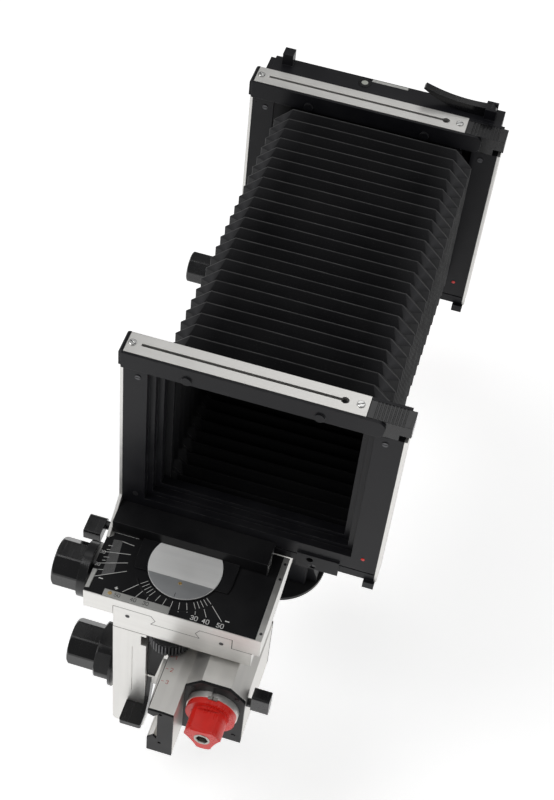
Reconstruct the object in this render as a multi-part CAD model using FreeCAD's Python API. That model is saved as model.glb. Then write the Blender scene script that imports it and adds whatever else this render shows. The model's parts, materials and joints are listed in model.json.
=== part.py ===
"""Monorail view camera: two geared standards on one rail, a bellows and a ground-glass back.

Millimetres. +Z is up, +X is to the right seen from the lens side, and +Y runs along the rail from the
lens side to the ground glass. The origin is the centre of the underside of the round tripod plate.

Each standard is built once, as the front one. The rear one's lower works are its mirror image about MID_Y,
so that both sets of scales face outward, and its frame is the same frame moved back along the rail.
"""

import FreeCAD
import Part
import math
import os

V = FreeCAD.Vector
AXIS = {"x": V(1, 0, 0), "y": V(0, 1, 0), "z": V(0, 0, 1)}

# Driving dimensions: the lens-board opening sets the frames, and the rail sets everything below them.
BOARD_OPENING = 141.0
FRAME_H = 159.6
FRAME_D = 16.2
FRAME_SPACING = 256.0
RAIL_R = 17.5
RAIL_BORE_R = 14.5
RAIL_LENGTH = 457.0
RAIL_Z = 63.0
SLIDE_GAP = 0.05
PIN_GAP = 0.05

# The front frame's outer faces, and how far the rear frame sits from a plain copy at rest.
FRAME_X0, FRAME_X1 = -97.4, 80.6
FRAME_Y0 = -80.4
FRAME_Y1 = FRAME_Y0 + FRAME_D
FRAME_TOP = 283.0
FRAME_BOTTOM = FRAME_TOP - FRAME_H
MID_Y = FRAME_Y0 + (FRAME_SPACING + FRAME_D) / 2
REAR_SHIFT, REAR_RISE = 3.5, 11.0
RAIL_Y0 = MID_Y - RAIL_LENGTH / 2
RAIL_Y1 = MID_Y + RAIL_LENGTH / 2

# Frame details.
OPEN_X0 = -80.0
OPEN_X1 = OPEN_X0 + BOARD_OPENING
OPEN_Z0, OPEN_Z1 = 143.0, 270.0
LIP = 3.4
TRIM_T = 2.0
TOP_TRIM_T = 3.0
TOP_TRIM_X0, TOP_TRIM_X1 = -95.7, 53.6
GRIP_Z0 = 269.6
LOCK_T = 1.8
CENTRE_X = (OPEN_X0 + OPEN_X1) / 2
CENTRE_Z = (OPEN_Z0 + OPEN_Z1) / 2

# Tray with the swing scale, on a cradle that is curved about the tilt axis.
TRAY_X0, TRAY_X1 = -97.4, 22.1
TRAY_Y0, TRAY_Y1 = -148.4, -80.9
TRAY_TOP = 123.0
FLOOR_T = 1.6
TILT_Y, TILT_Z = -114.4, 209.5
TILT_R = 100.0
TILT_R_KEY = 108.6
TILT_R_SKIRT = 109.4
KEY_X0, KEY_X1, KEY_NECK = -51.2, -18.4, 2.8
SWING_X, SWING_Y = -40.4, -111.6
DISC_R = 24.5
TURNTABLE_R = 24.0
WEDGE_HALF = 33.0
FOLD_Y, LABEL_Y1, LABEL_RISE = -121.4, -98.9, 2.4
STEP_X0, STEP_X1, STEP_Y0, STEP_H = -95.3, 10.9, -98.8, 11.7

# Cross plate, column and carriage, from the top down.
CROSS_X0, CROSS_X1, CROSS_STEP_X = -77.0, 17.1, 3.4
CROSS_Y1 = -82.0
CROSS_BOTTOM = 91.0
COLUMN_X0, COLUMN_X1 = -77.1, -53.9
COLUMN_Y0, COLUMN_Y1 = -148.4, -136.4
COLUMN_BOTTOM = -31.0
SHELF_T = 2.8
WHEEL_X, WHEEL_Y, WHEEL_R = -40.8, -136.5, 14.8
WHEEL_Z0, WHEEL_Z1 = 78.0, 87.9
CARRIAGE_X0, CARRIAGE_X1 = -77.5, -38.4
CARRIAGE_Y0, CARRIAGE_Y1 = -136.2, -104.0
CARRIAGE_Z0, CARRIAGE_Z1 = 8.0, 76.0
CHEEK_X0, CHEEK_Y0, CHEEK_Z0 = -53.5, -144.2, 36.3
BOSS_X0, BOSS_X1, BOSS_Z0 = -50.6, -43.0, 26.0
KNOB_Y, KNOB_Z = -127.0, 21.0
DEPTH_Y, DEPTH_Z = 222.0, 51.0
TILT_KNOB_Y, TILT_KNOB_Z = -124.0, 111.0
TILT_LEVER_Y, TILT_LEVER_Z = -89.0, 113.5
RISE_LEVER_Y, RISE_LEVER_Z = -140.3, 30.5

# Focusing track and rail clamp.
TRACK_X0, TRACK_X1 = -37.7, -20.4
TRACK_Y0, TRACK_Y1 = -190.4, -86.4
TRACK_Z0, TRACK_Z1 = 25.0, 77.0
CLAMP_HALF = 20.4
CLAMP_Y0, CLAMP_Y1 = -166.2, -104.2
CLAMP_Z0, CLAMP_Z1 = 25.0, 87.6
END_PLATE_T = 2.2
CHAMFER = 10.5
CLAMP_LEVER_Y, CLAMP_LEVER_Z = -160.0, 66.0
TRACK_CAP_T = 1.6
HEAD_H = 0.4

# Red rail caps.
CAP_GRIP_R = 12.6
CAP_FLUTE_R = 40.0
CAP_WAIST_R = 9.4
CAP_TURN = -6.0

# Tripod fitting: a 3/8 inch thread, at its minor diameter.
PLATE_R, PLATE_T = 36.5, 3.0
TRIPOD_THREAD_R = 4.0
TRIPOD_THREAD_DEPTH = 12.0
TRIPOD_HALF_X, TRIPOD_HALF_Y = 25.6, 17.4
TRIPOD_LEVER_Z = 40.0

# Bellows and back.
BELLOWS_HALF = 70.5
BELLOWS_WALL = 1.5
BELLOWS_PLATE_T = 2.5
BELLOWS_X, BELLOWS_Z = -6.5, 203.2
BELLOWS_REAR_RISE = 6.8
COLLAR_HALF = 61.0
BACK_D = 16.2
BACK_BOTTOM = 146.0
GLASS_W, GLASS_H, GLASS_T = 127.0, 102.0, 2.0


def box(x0, x1, y0, y1, z0, z1):
    return Part.makeBox(x1 - x0, y1 - y0, z1 - z0, V(x0, y0, z0))


def rod(axis, radius, start, end, a, b):
    """Cylinder along axis. a and b are its centre's other two coordinates, in X, Y, Z order."""
    base = {"x": V(start, a, b), "y": V(a, start, b), "z": V(a, b, start)}[axis]
    return Part.makeCylinder(radius, end - start, base, AXIS[axis])


def prism(axis, points, start, end):
    """Straight prism along axis. points are the other two coordinates of its outline, in X, Y, Z order."""
    place = {
        "x": lambda a, b: V(start, a, b),
        "y": lambda a, b: V(a, start, b),
        "z": lambda a, b: V(a, b, start),
    }
    corners = [place[axis](a, b) for a, b in points]
    face = Part.Face(Part.makePolygon(corners + corners[:1]))
    return face.extrude(AXIS[axis] * (end - start))


def joined(*shapes):
    return shapes[0].multiFuse(list(shapes[1:])).removeSplitter()


def group(*shapes):
    return Part.makeCompound(list(shapes))


def turned(shape, axis, degrees, centre):
    copy = shape.copy()
    copy.rotate(V(*centre), AXIS[axis], degrees)
    return copy


def moved(shape, x=0.0, y=0.0, z=0.0):
    copy = shape.copy()
    copy.translate(V(x, y, z))
    return copy


def mirrored(shape):
    return shape.mirror(V(0, MID_Y, 0), V(0, 1, 0))


def flatted_knob(radius, x0, x1, flats, y, z, depth):
    """Round grip along X with shallow flats milled round it and a small chamfer at its outer end."""
    grip = rod("x", radius, x0, x1, y, z)
    edge = [e for e in grip.Edges if abs(e.CenterOfMass.x - x0) < 0.01 and e.Closed]
    grip = grip.makeChamfer(1.2, edge[:1])
    for i in range(flats):
        cut = box(x0 - 1, x1 + 1, y - radius, y + radius, z + radius - depth, z + radius + 2)
        grip = grip.cut(turned(cut, "x", 360.0 * i / flats, (0, y, z)))
    return grip


def paddle(x0, x1, y, z, length, thick, degrees, shaft_x):
    """Clamping lever turning about X: a rounded hub at (y, z), a flat finger, and a shaft to shaft_x.

    At 0 degrees the finger points along -Y.
    """
    hub = rod("x", thick / 2, x0, x1, y, z)
    finger = box(x0, x1, y - length, y, z - thick / 2, z + thick / 2)
    tip_y = y - length
    tip = [e for e in finger.Edges if abs(e.CenterOfMass.y - tip_y) < 0.01 and e.Length > x1 - x0 - 0.1]
    finger = finger.makeFillet(1.2, tip)
    middle = (x0 + x1) / 2
    shaft = rod("x", 3.0, min(middle, shaft_x), max(middle, shaft_x), y, z)
    return turned(joined(hub, finger, shaft), "x", degrees, (0, y, z))


def curved_ring(points):
    """Solid of revolution about the tilt axis. points are (x, radius)."""
    corners = [V(x, TILT_Y, TILT_Z - radius) for x, radius in points]
    face = Part.Face(Part.makePolygon(corners + corners[:1]))
    return face.revolve(V(0, TILT_Y, TILT_Z), AXIS["x"], 360.0)


def curved_slab(x0, x1, inner, outer):
    return curved_ring([(x0, inner), (x1, inner), (x1, outer), (x0, outer)])


def cradle_key(gap):
    """The hourglass key between the tray and the cross plate, grown by gap on its flanks and foot."""
    waist = (TILT_R + TILT_R_KEY) / 2
    return curved_ring([
        (KEY_X0 - gap, TILT_R - 2), (KEY_X0 - gap, TILT_R), (KEY_X0 + KEY_NECK - gap, waist),
        (KEY_X0 - gap, TILT_R_KEY), (KEY_X0 - gap, TILT_R_KEY + gap), (KEY_X1 + gap, TILT_R_KEY + gap),
        (KEY_X1 + gap, TILT_R_KEY), (KEY_X1 - KEY_NECK + gap, waist), (KEY_X1 + gap, TILT_R),
        (KEY_X1 + gap, TILT_R - 2)])


def tray(knob_side):
    """Tray that tilts in the cross plate. The tilt knob and lock go in its left (-1) or right (1) side."""
    ends = (TRAY_Y0, TRAY_Y1)
    block = box(TRAY_X0, TRAY_X1, *ends, 90.0, TRAY_TOP)
    left = curved_slab(TRAY_X0, CROSS_X0 - 0.3, 60.0, TILT_R_SKIRT)
    middle = curved_slab(CROSS_X0 - 0.3, CROSS_STEP_X + 0.3, 60.0, TILT_R)
    right = curved_slab(CROSS_STEP_X + 0.3, TRAY_X1, 60.0, TILT_R_SKIRT)
    body = block.common(joined(left, middle, right, cradle_key(0.0)))
    pivot = rod("z", 4.0 + PIN_GAP, 113.0, TRAY_TOP + 1, SWING_X, SWING_Y)
    body = body.cut(joined(floor_outline(), pivot))
    knob_bore = rod("x", 4.0 + PIN_GAP, TRAY_X0 - 1, TRAY_X0 + 8.4, TILT_KNOB_Y, TILT_KNOB_Z)
    lever_bore = rod("x", 3.0 + PIN_GAP, TRAY_X0 - 1, TRAY_X0 + 5.4, TILT_LEVER_Y, TILT_LEVER_Z)
    bores = group(knob_bore, lever_bore)
    return body.cut(bores if knob_side < 0 else to_right_side(bores))


def to_right_side(shape):
    """Mirrors a part of the tray's left side to its right side."""
    return shape.mirror(V((TRAY_X0 + TRAY_X1) / 2, 0, 0), AXIS["x"])


def floor_outline():
    """The sheet on the tray: it covers the left rim up to a slanted edge, and leaves the other rims bare."""
    rim_x, rim_y = 4.1, 0.5
    x1 = TRAY_X1 - rim_x
    outline = [(TRAY_X0, TRAY_Y0 + rim_y), (x1, TRAY_Y0 + rim_y), (x1, TRAY_Y1), (TRAY_X0 + 1, TRAY_Y1),
               (TRAY_X0 + 4, -101.5), (TRAY_X0, -105.5)]
    return prism("z", outline, TRAY_TOP - FLOOR_T, TRAY_TOP)


def tray_floor():
    return floor_outline().cut(rod("z", 4.0 + PIN_GAP, 110, 130, SWING_X, SWING_Y))


def cross_plate():
    top = 116.0
    main = box(CROSS_X0, CROSS_STEP_X, TRAY_Y0, CROSS_Y1, CROSS_BOTTOM, top)
    main = main.cut(curved_slab(CROSS_X0 - 1, CROSS_STEP_X + 1, 60.0, TILT_R + SLIDE_GAP))
    step = box(CROSS_STEP_X, CROSS_X1, TRAY_Y0, CROSS_Y1, CROSS_BOTTOM, top)
    step = step.cut(curved_slab(CROSS_STEP_X - 1, CROSS_X1 + 1, 60.0, TILT_R_SKIRT + SLIDE_GAP))
    return joined(main.cut(cradle_key(SLIDE_GAP)), step).cut(shift_key(SLIDE_GAP, CROSS_X0 - 1, CROSS_X1 + 1))


def shift_key(gap, x0, x1):
    """Dovetail along X on top of the column's shelf, which the cross plate slides on."""
    y0, y1, z0, z1 = -112.0, -100.0, CROSS_BOTTOM - 0.1, CROSS_BOTTOM + 4
    flank = 1.6
    return prism("x", [(y0 - gap, z0), (y1 + gap, z0), (y1 + flank + gap, z1 + gap),
                       (y0 - flank - gap, z1 + gap)], x0, x1)


def column_key(gap, z0, z1):
    """Dovetail along Z on the back of the column, which slides in the carriage."""
    x0, x1, y0, y1 = -67.0, -60.0, COLUMN_Y1 - 0.1, COLUMN_Y1 + 5
    flank = 1.6
    return prism("z", [(x0 - gap, y0), (x1 + gap, y0), (x1 + flank + gap, y1 + gap),
                       (x0 - flank - gap, y1 + gap)], z0, z1)


def column():
    shelf_top = CROSS_BOTTOM - SLIDE_GAP
    post = box(COLUMN_X0, COLUMN_X1, COLUMN_Y0, COLUMN_Y1, COLUMN_BOTTOM, shelf_top)
    feet = [e for e in post.Edges if abs(e.CenterOfMass.z - COLUMN_BOTTOM) < 0.01 and e.Length < 13]
    post = post.makeFillet(4.0, feet)
    shelf = box(COLUMN_X0, -24.0, -146.0, -90.0, shelf_top - SHELF_T, shelf_top)
    key = column_key(0.0, COLUMN_BOTTOM + 34, shelf_top - SHELF_T)
    groove = box(COLUMN_X0 + 13.5, COLUMN_X0 + 14.3, COLUMN_Y0 - 1, COLUMN_Y0 + 0.5, 16, 72)
    relief_z0, relief_z1 = WHEEL_Z0 - 0.6, shelf_top - SHELF_T
    relief = joined(rod("z", WHEEL_R + 0.8, relief_z0, relief_z1, WHEEL_X, WHEEL_Y),
                    box(COLUMN_X1 - 3.7, WHEEL_X, COLUMN_Y0 - 1, COLUMN_Y1, relief_z0, relief_z1))
    bore = rod("z", 3.0 + PIN_GAP, 80, 90.3, WHEEL_X, WHEEL_Y)
    body = joined(post.cut(relief), shelf, key, shift_key(0.0, COLUMN_X0, -24.0))
    return body.cut(groove).cut(bore)


def shift_wheel():
    """Toothed thumb wheel under the cross plate, with its pin in the column's shelf."""
    teeth = 40
    outline = []
    for i in range(teeth):
        for step, radius in ((0.0, WHEEL_R - 1.3), (0.3, WHEEL_R), (0.7, WHEEL_R)):
            angle = 2 * math.pi * (i + step) / teeth
            outline.append((WHEEL_X + radius * math.cos(angle), WHEEL_Y + radius * math.sin(angle)))
    wheel = prism("z", outline, WHEEL_Z0, WHEEL_Z1)
    dish = rod("z", WHEEL_R - 5, WHEEL_Z0 - 1, WHEEL_Z0 + 2, WHEEL_X, WHEEL_Y)
    return joined(wheel.cut(dish), rod("z", 3.0, WHEEL_Z0 + 2, 90.2, WHEEL_X, WHEEL_Y))


def track_slot(grow):
    """The undercut groove in the track, open to the left and grown by grow."""
    rise = 1.5 * grow
    mouth_x, undercut_x, back_x = TRACK_X0 - 1, -33.6, -31.0 + grow
    low = [(mouth_x, 40.4 - rise), (TRACK_X0 + 0.9, 41.0 - rise), (undercut_x, 45.0 - rise),
           (back_x, 42.0 - rise)]
    high = [(back_x, 73.8 + rise), (undercut_x, 70.6 + rise), (mouth_x, 73.0 + rise)]
    return prism("y", low + high, TRACK_Y0 - 3, TRACK_Y1 + 3)


def focus_track():
    return prism("y", track_outline(), TRACK_Y0, TRACK_Y1).cut(track_slot(0.0))


def carriage():
    """Black block that runs in the track, guides the column and carries the focus and rise knobs."""
    guide_x1 = COLUMN_X1 - 1.5
    guide = box(CARRIAGE_X0, guide_x1, CARRIAGE_Y0, CARRIAGE_Y1, CARRIAGE_Z0, CARRIAGE_Z1)
    bridge = box(guide_x1 - 1, CARRIAGE_X1, CARRIAGE_Y0, CARRIAGE_Y1, CHEEK_Z0, CARRIAGE_Z1)
    cheek = box(CHEEK_X0, CARRIAGE_X1, CHEEK_Y0, CARRIAGE_Y0 + 1, CHEEK_Z0, CARRIAGE_Z1)
    boss = box(BOSS_X0, BOSS_X1, CHEEK_Y0, CARRIAGE_Y0 + 1, BOSS_Z0, CHEEK_Z0 + 1)
    span = box(CARRIAGE_X1 - 1, -30.0, CARRIAGE_Y0, CARRIAGE_Y1, CHEEK_Z0, CARRIAGE_Z1)
    runner = track_slot(-SLIDE_GAP).common(span)
    body = joined(guide, bridge, cheek, boss, runner)
    body = body.cut(column_key(SLIDE_GAP, CARRIAGE_Z0 - 1, CARRIAGE_Z1 + 1))
    body = body.cut(rod("x", 6.0 + PIN_GAP, CARRIAGE_X0 - 1, CARRIAGE_X0 + 7.5, KNOB_Y, KNOB_Z))
    return body.cut(rod("x", 2.2 + PIN_GAP, BOSS_X0 - 1, BOSS_X0 + 6.5, RISE_LEVER_Y, RISE_LEVER_Z))


def rise_lever():
    """Lock lever beside the column: a hub on the carriage's boss, a thin arm, and a bent foot."""
    x0, x1 = COLUMN_X1 + 0.3, BOSS_X0 - 0.2
    y, z = RISE_LEVER_Y, RISE_LEVER_Z
    front = COLUMN_Y0 - 0.3
    hub = rod("x", 3.8, x0, x1, y, z)
    arm = prism("x", [(y - 3.8, z), (y + 3.4, z), (y + 1.5, 14.0), (front + 3, -2.5), (front - 8, -2.5),
                      (front - 8, 2.0), (front - 0.4, 10.0)], x0, x1)
    foot = box(-66.5, x1, front - 17.0, front - 0.2, -2.5, 2.0)
    corner = [e for e in foot.Edges if abs(e.CenterOfMass.y - (front - 17.0)) < 0.01 and e.Length < 5]
    foot = foot.makeFillet(1.5, corner)
    pin = rod("x", 2.2, x1 - 1, BOSS_X0 + 6, y, z)
    return joined(hub, arm, foot, pin)


def focus_knob():
    wheel = flatted_knob(21.0, -92.5, -81.0, 6, KNOB_Y, KNOB_Z, 1.6)
    flange = rod("x", 23.0, -81.0, -79.0, KNOB_Y, KNOB_Z)
    sleeve = rod("x", 6.0, -79.0, CARRIAGE_X0 + 7, KNOB_Y, KNOB_Z)
    return joined(wheel, flange, sleeve).cut(rod("x", 3.0 + PIN_GAP, -95, -60, KNOB_Y, KNOB_Z))


def rise_knob():
    grip = flatted_knob(16.5, -113.5, -93.0, 8, KNOB_Y, KNOB_Z, 1.0)
    return joined(grip, rod("x", 3.0, -93.5, CARRIAGE_X0 + 6, KNOB_Y, KNOB_Z))


def tilt_knob():
    grip = flatted_knob(16.5, -123.4, -104.9, 8, TILT_KNOB_Y, TILT_KNOB_Z, 1.0)
    ring = rod("x", 19.0, -104.9, -98.8, TILT_KNOB_Y, TILT_KNOB_Z)
    return joined(grip, ring, rod("x", 4.0, -99.0, -90.0, TILT_KNOB_Y, TILT_KNOB_Z))


def swing_carrier():
    """Turntable on the tray's floor, rising in a wedge to the step that carries the frame."""
    table = rod("z", TURNTABLE_R, TRAY_TOP + 0.15, TRAY_TOP + 1.2, SWING_X, SWING_Y)
    table = table.cut(box(-120, 20, FRAME_Y0, 0, 110, 140))
    left, right = SWING_X - WEDGE_HALF, SWING_X + WEDGE_HALF
    wedge = prism("x", [(FOLD_Y, TRAY_TOP + 0.15), (FOLD_Y, TRAY_TOP + 1.2), (LABEL_Y1, TRAY_TOP + LABEL_RISE),
                        (FRAME_Y0, TRAY_TOP + LABEL_RISE), (FRAME_Y0, TRAY_TOP + 0.15)], left, right)
    round_end = rod("z", WEDGE_HALF, TRAY_TOP, TRAY_TOP + 10, SWING_X, SWING_Y)
    straight = box(left, right, SWING_Y, FRAME_Y0, TRAY_TOP, TRAY_TOP + 10)
    wedge = wedge.common(joined(round_end, straight))
    step = box(STEP_X0, STEP_X1, STEP_Y0, FRAME_Y0, TRAY_TOP + 0.4, TRAY_TOP + STEP_H)
    pivot = rod("z", 4.0, 113.5, TRAY_TOP + 1, SWING_X, SWING_Y)
    return joined(table, wedge, step, pivot)


def swing_index():
    """Bent index disc: a half-moon that lies flat and a label face that slopes up behind it to the step."""
    z0, z1, thick = TRAY_TOP + 1.2, TRAY_TOP + LABEL_RISE, 0.8
    sheet = prism("x", [(SWING_Y - DISC_R - 1, z0), (FOLD_Y, z0), (LABEL_Y1, z1), (LABEL_Y1, z1 + thick),
                        (FOLD_Y, z0 + thick), (SWING_Y - DISC_R - 1, z0 + thick)], SWING_X - 30, SWING_X + 30)
    return sheet.common(rod("z", DISC_R, 100, 150, SWING_X, SWING_Y))


def frame():
    """Black frame with a stepped recess for the lens board."""
    x0, x1 = FRAME_X0 + TRIM_T, FRAME_X1 - TRIM_T
    body = box(x0, x1, FRAME_Y0, FRAME_Y1, FRAME_BOTTOM, FRAME_TOP - TOP_TRIM_T)
    body = body.cut(box(TOP_TRIM_X1, x1 + 1, FRAME_Y0 - 1, FRAME_Y1 + 1, GRIP_Z0 - 0.1, FRAME_TOP))
    for depth, inset in ((5.0, 0.0), (10.0, 4.0), (FRAME_D + 1, 8.0)):
        top = OPEN_Z1 + LIP if inset == 0.0 else OPEN_Z1 - inset
        body = body.cut(box(OPEN_X0 + inset, OPEN_X1 - inset, FRAME_Y0 - 1, FRAME_Y0 + depth,
                            OPEN_Z0 + inset, top))
    groove = box(x0 - 1, x1 + 1, FRAME_Y0 - 1, FRAME_Y0 + 0.8, 130.0, 131.0)
    back_stop = box(TOP_TRIM_X1, x1, FRAME_Y1 - 2.2, FRAME_Y1, GRIP_Z0 - 0.5, FRAME_TOP)
    corner_cap = box(FRAME_X0 - 1.2, TOP_TRIM_X0, FRAME_Y0, FRAME_Y1, FRAME_TOP - 13, FRAME_TOP + 0.2)
    outer = [e for e in corner_cap.Edges if e.CenterOfMass.x < FRAME_X0 and e.CenterOfMass.z > FRAME_TOP]
    corner_cap = corner_cap.makeFillet(2.4, outer)
    shoulder = box(TOP_TRIM_X0 - 1, x0 + 1, FRAME_Y0, FRAME_Y1, FRAME_TOP - 13, FRAME_TOP - TOP_TRIM_T)
    plate = box(26.0, 54.6, FRAME_Y0 - 1.6, FRAME_Y0, 120.0, 134.0)
    holes = [rod("y", radius, FRAME_Y0 - 2, FRAME_Y0 + 2, x, z) for radius, x, z in
             ((2.3, 35.0, 129.4), (2.1, 37.6, 122.9))]
    plate = plate.cut(group(*holes))
    foot = box(72.0, 79.5, FRAME_Y0 - 2.5, FRAME_Y0 + 6, 117.5, FRAME_BOTTOM)
    return joined(body.cut(groove).cut(holes[0]), back_stop, corner_cap, shoulder, plate, foot)


def frame_trim(tray_side):
    """Bright bar with its long slot on top, and a bright strip down each side.

    The left strip has a gusset on the side where the tray is, which is -1 for the front and 1 for the back.
    """
    y_mid = (FRAME_Y0 + FRAME_Y1) / 2
    bar = box(TOP_TRIM_X0, TOP_TRIM_X1, FRAME_Y0, FRAME_Y1, FRAME_TOP - TOP_TRIM_T, FRAME_TOP)
    slot_z = FRAME_TOP - TOP_TRIM_T - 1
    slot = box(-86.7, 39.0, y_mid - 1, y_mid + 1, slot_z, FRAME_TOP + 1)
    keyhole = rod("z", 2.5, slot_z, FRAME_TOP + 1, 39.0, y_mid)
    strips = [box(x, x + TRIM_T, FRAME_Y0, FRAME_Y1, FRAME_BOTTOM, GRIP_Z0)
              for x in (FRAME_X0, FRAME_X1 - TRIM_T)]
    toe_y, toe_z = -105.0, TRAY_TOP + 0.4
    gusset = prism("x", [(FRAME_Y0, FRAME_BOTTOM + 17), (FRAME_Y0, toe_z), (toe_y, toe_z),
                         (toe_y, toe_z + 1.2)], FRAME_X0, FRAME_X0 + TRIM_T)
    if tray_side > 0:
        gusset = gusset.mirror(V(0, y_mid, 0), AXIS["y"])
    return group(bar.cut(joined(slot, keyhole)), joined(strips[0], gusset), strips[1])


def frame_screws():
    y_mid = (FRAME_Y0 + FRAME_Y1) / 2
    heads = []
    for x in (-92.4, 48.6):
        head = rod("z", 2.4, FRAME_TOP, FRAME_TOP + 0.5, x, y_mid)
        heads.append(head.cut(box(x - 3, x + 3, y_mid - 0.3, y_mid + 0.3, FRAME_TOP + 0.2, FRAME_TOP + 1)))
    for x, z in ((-86.0, 262.6), (67.9, 263.1), (-86.0, 146.0)):
        head = rod("y", 1.9, FRAME_Y0 - 0.5, FRAME_Y0, x, z)
        heads.append(head.cut(box(x - 3, x + 3, FRAME_Y0 - 1, FRAME_Y0 - 0.2, z - 0.25, z + 0.25)))
    return group(*heads)


def board_lock():
    """Sliding strip that holds the top edge of the lens board, with two button heads."""
    z0 = FRAME_TOP - 13
    strip = box(FRAME_X0 + 1, 66.0, FRAME_Y0 - 0.1 - LOCK_T, FRAME_Y0 - 0.1, z0, FRAME_TOP - 0.2)
    tip = [e for e in strip.Edges if abs(e.CenterOfMass.x - 66.0) < 0.01 and abs(e.Length - LOCK_T) < 0.01]
    strip = strip.makeFillet(5.0, tip)
    heads = [rod("y", 3.2, FRAME_Y0 - 1.2 - LOCK_T, FRAME_Y0 - LOCK_T, x, z0 + 3.5) for x in (-55.1, 27.1)]
    return joined(strip, *heads)


def lock_grip():
    x0, x1 = TOP_TRIM_X1 + 0.3, 81.8
    block = box(x0, x1, FRAME_Y0, FRAME_Y1 - 2.4, GRIP_Z0 + 0.1, FRAME_TOP)
    ribs = [box(x, x + 0.9, FRAME_Y0 - 1, FRAME_Y1, FRAME_TOP - 0.35, FRAME_TOP + 1)
            for x in (x0 + 4 + 2.2 * i for i in range(9))]
    notch = box(x1 - 7, x1 + 1, FRAME_Y0 - 1, FRAME_Y0 + 5, GRIP_Z0, GRIP_Z0 + 5)
    return block.cut(joined(notch, *ribs))


def clamp_outline():
    """Section of the clamp block, as (x, z) corners."""
    h = CLAMP_HALF
    return [(-h, CLAMP_Z0), (h, CLAMP_Z0), (h, CLAMP_Z1 - CHAMFER), (h - CHAMFER, CLAMP_Z1),
            (CHAMFER - h, CLAMP_Z1), (-h, CLAMP_Z1 - CHAMFER)]


def track_outline():
    """Section of the focusing track, as (x, z) corners."""
    return [(TRACK_X0, TRACK_Z0), (TRACK_X1, TRACK_Z0), (TRACK_X1, TRACK_Z1 - 0.8), (-27.2, TRACK_Z1),
            (TRACK_X0, TRACK_Z1)]


def clamp_block():
    h = CLAMP_HALF
    body = prism("y", clamp_outline(), CLAMP_Y0, CLAMP_Y1)
    bore = rod("y", RAIL_R + SLIDE_GAP, CLAMP_Y0 - 1, CLAMP_Y1 + 1, 0, RAIL_Z)
    slit = box(-1, 1, CLAMP_Y0 - 1, CLAMP_Y1 + 1, CLAMP_Z0 - 1, RAIL_Z - RAIL_R + 1)
    lever_bore = rod("x", 3.0 + PIN_GAP, h - 2.4, h + 1, CLAMP_LEVER_Y, CLAMP_LEVER_Z)
    return body.cut(bore).cut(slit).cut(lever_bore)


def clamp_end_plate(y0, outward):
    """Black plate on one end of the clamp block, with four screw heads on its outward side (-1 or 1)."""
    plate = prism("y", clamp_outline(), y0, y0 + END_PLATE_T)
    plate = plate.cut(rod("y", RAIL_R + SLIDE_GAP, y0 - 1, y0 + END_PLATE_T + 1, 0, RAIL_Z))
    head_y = y0 - HEAD_H if outward < 0 else y0 + END_PLATE_T
    heads = [rod("y", 1.6, head_y, head_y + HEAD_H, x, z) for x in (-15, 15) for z in (32, 79)]
    return joined(plate, *heads)


def track_cap(y0):
    """Black cap on one end of the track, open where the groove is, with two screw holes."""
    y1 = y0 + TRACK_CAP_T
    cap = prism("y", track_outline(), y0, y1)
    holes = [rod("y", 1.2, y0 - 1, y1 + 1, -29.0, z) for z in (38.0, 75.0)]
    return cap.cut(track_slot(0.0)).cut(group(*holes))


def end_plates():
    return group(clamp_end_plate(CLAMP_Y0 - END_PLATE_T, -1), clamp_end_plate(CLAMP_Y1, 1),
                 track_cap(TRACK_Y0 - TRACK_CAP_T), track_cap(TRACK_Y1))


def standard():
    """All nodes of the front standard, at rest."""
    return {
        "clamp_block": clamp_block(),
        "end_plates": end_plates(),
        "focus_track": focus_track(),
        "clamp_lever": paddle(23.5, 35.5, CLAMP_LEVER_Y, CLAMP_LEVER_Z, 14.0, 9.0, -90.0, CLAMP_HALF - 2.2),
        "carriage": carriage(),
        "focus_knob": focus_knob(),
        "rise_knob": rise_knob(),
        "rise_lever": rise_lever(),
        "column": column(),
        "shift_wheel": shift_wheel(),
        "cross_plate": cross_plate(),
        "tray": tray(-1),
        "tray_floor": tray_floor(),
        "tilt_knob": tilt_knob(),
        "tilt_lever": paddle(-115.2, -103.2, TILT_LEVER_Y, TILT_LEVER_Z, 12.0, 9.0, 0.0, -93.0),
        "swing_carrier": swing_carrier(),
        "swing_index": swing_index(),
        "frame": frame(),
        "frame_trim": frame_trim(-1),
        "frame_screws": frame_screws(),
        "board_lock": board_lock(),
        "lock_grip": lock_grip(),
    }


FRAME_NODES = ("frame", "frame_trim", "frame_screws", "board_lock", "lock_grip")
RISEN_NODES = ("column", "shift_wheel")
HEAD_NODES = ("cross_plate", "tray", "tray_floor", "tilt_knob", "tilt_lever", "swing_carrier", "swing_index")


def rear_of(name, shape):
    """Where a front node's shape sits on the rear standard."""
    if name in FRAME_NODES:
        return moved(shape, REAR_SHIFT, FRAME_SPACING, REAR_RISE)
    if name in HEAD_NODES:
        return moved(mirrored(shape), REAR_SHIFT, 0, REAR_RISE)
    if name in RISEN_NODES:
        return moved(mirrored(shape), 0, 0, REAR_RISE)
    return mirrored(shape)


def rail():
    tube = rod("y", RAIL_R, RAIL_Y0, RAIL_Y1, 0, RAIL_Z)
    bore = rod("y", RAIL_BORE_R, RAIL_Y0 - 1, RAIL_Y1 + 1, 0, RAIL_Z)
    groove = box(-1.5, 1.5, RAIL_Y0 - 1, RAIL_Y1 + 1, RAIL_Z + RAIL_R - 1.2, RAIL_Z + RAIL_R + 1)
    return tube.cut(bore).cut(groove)


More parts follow.
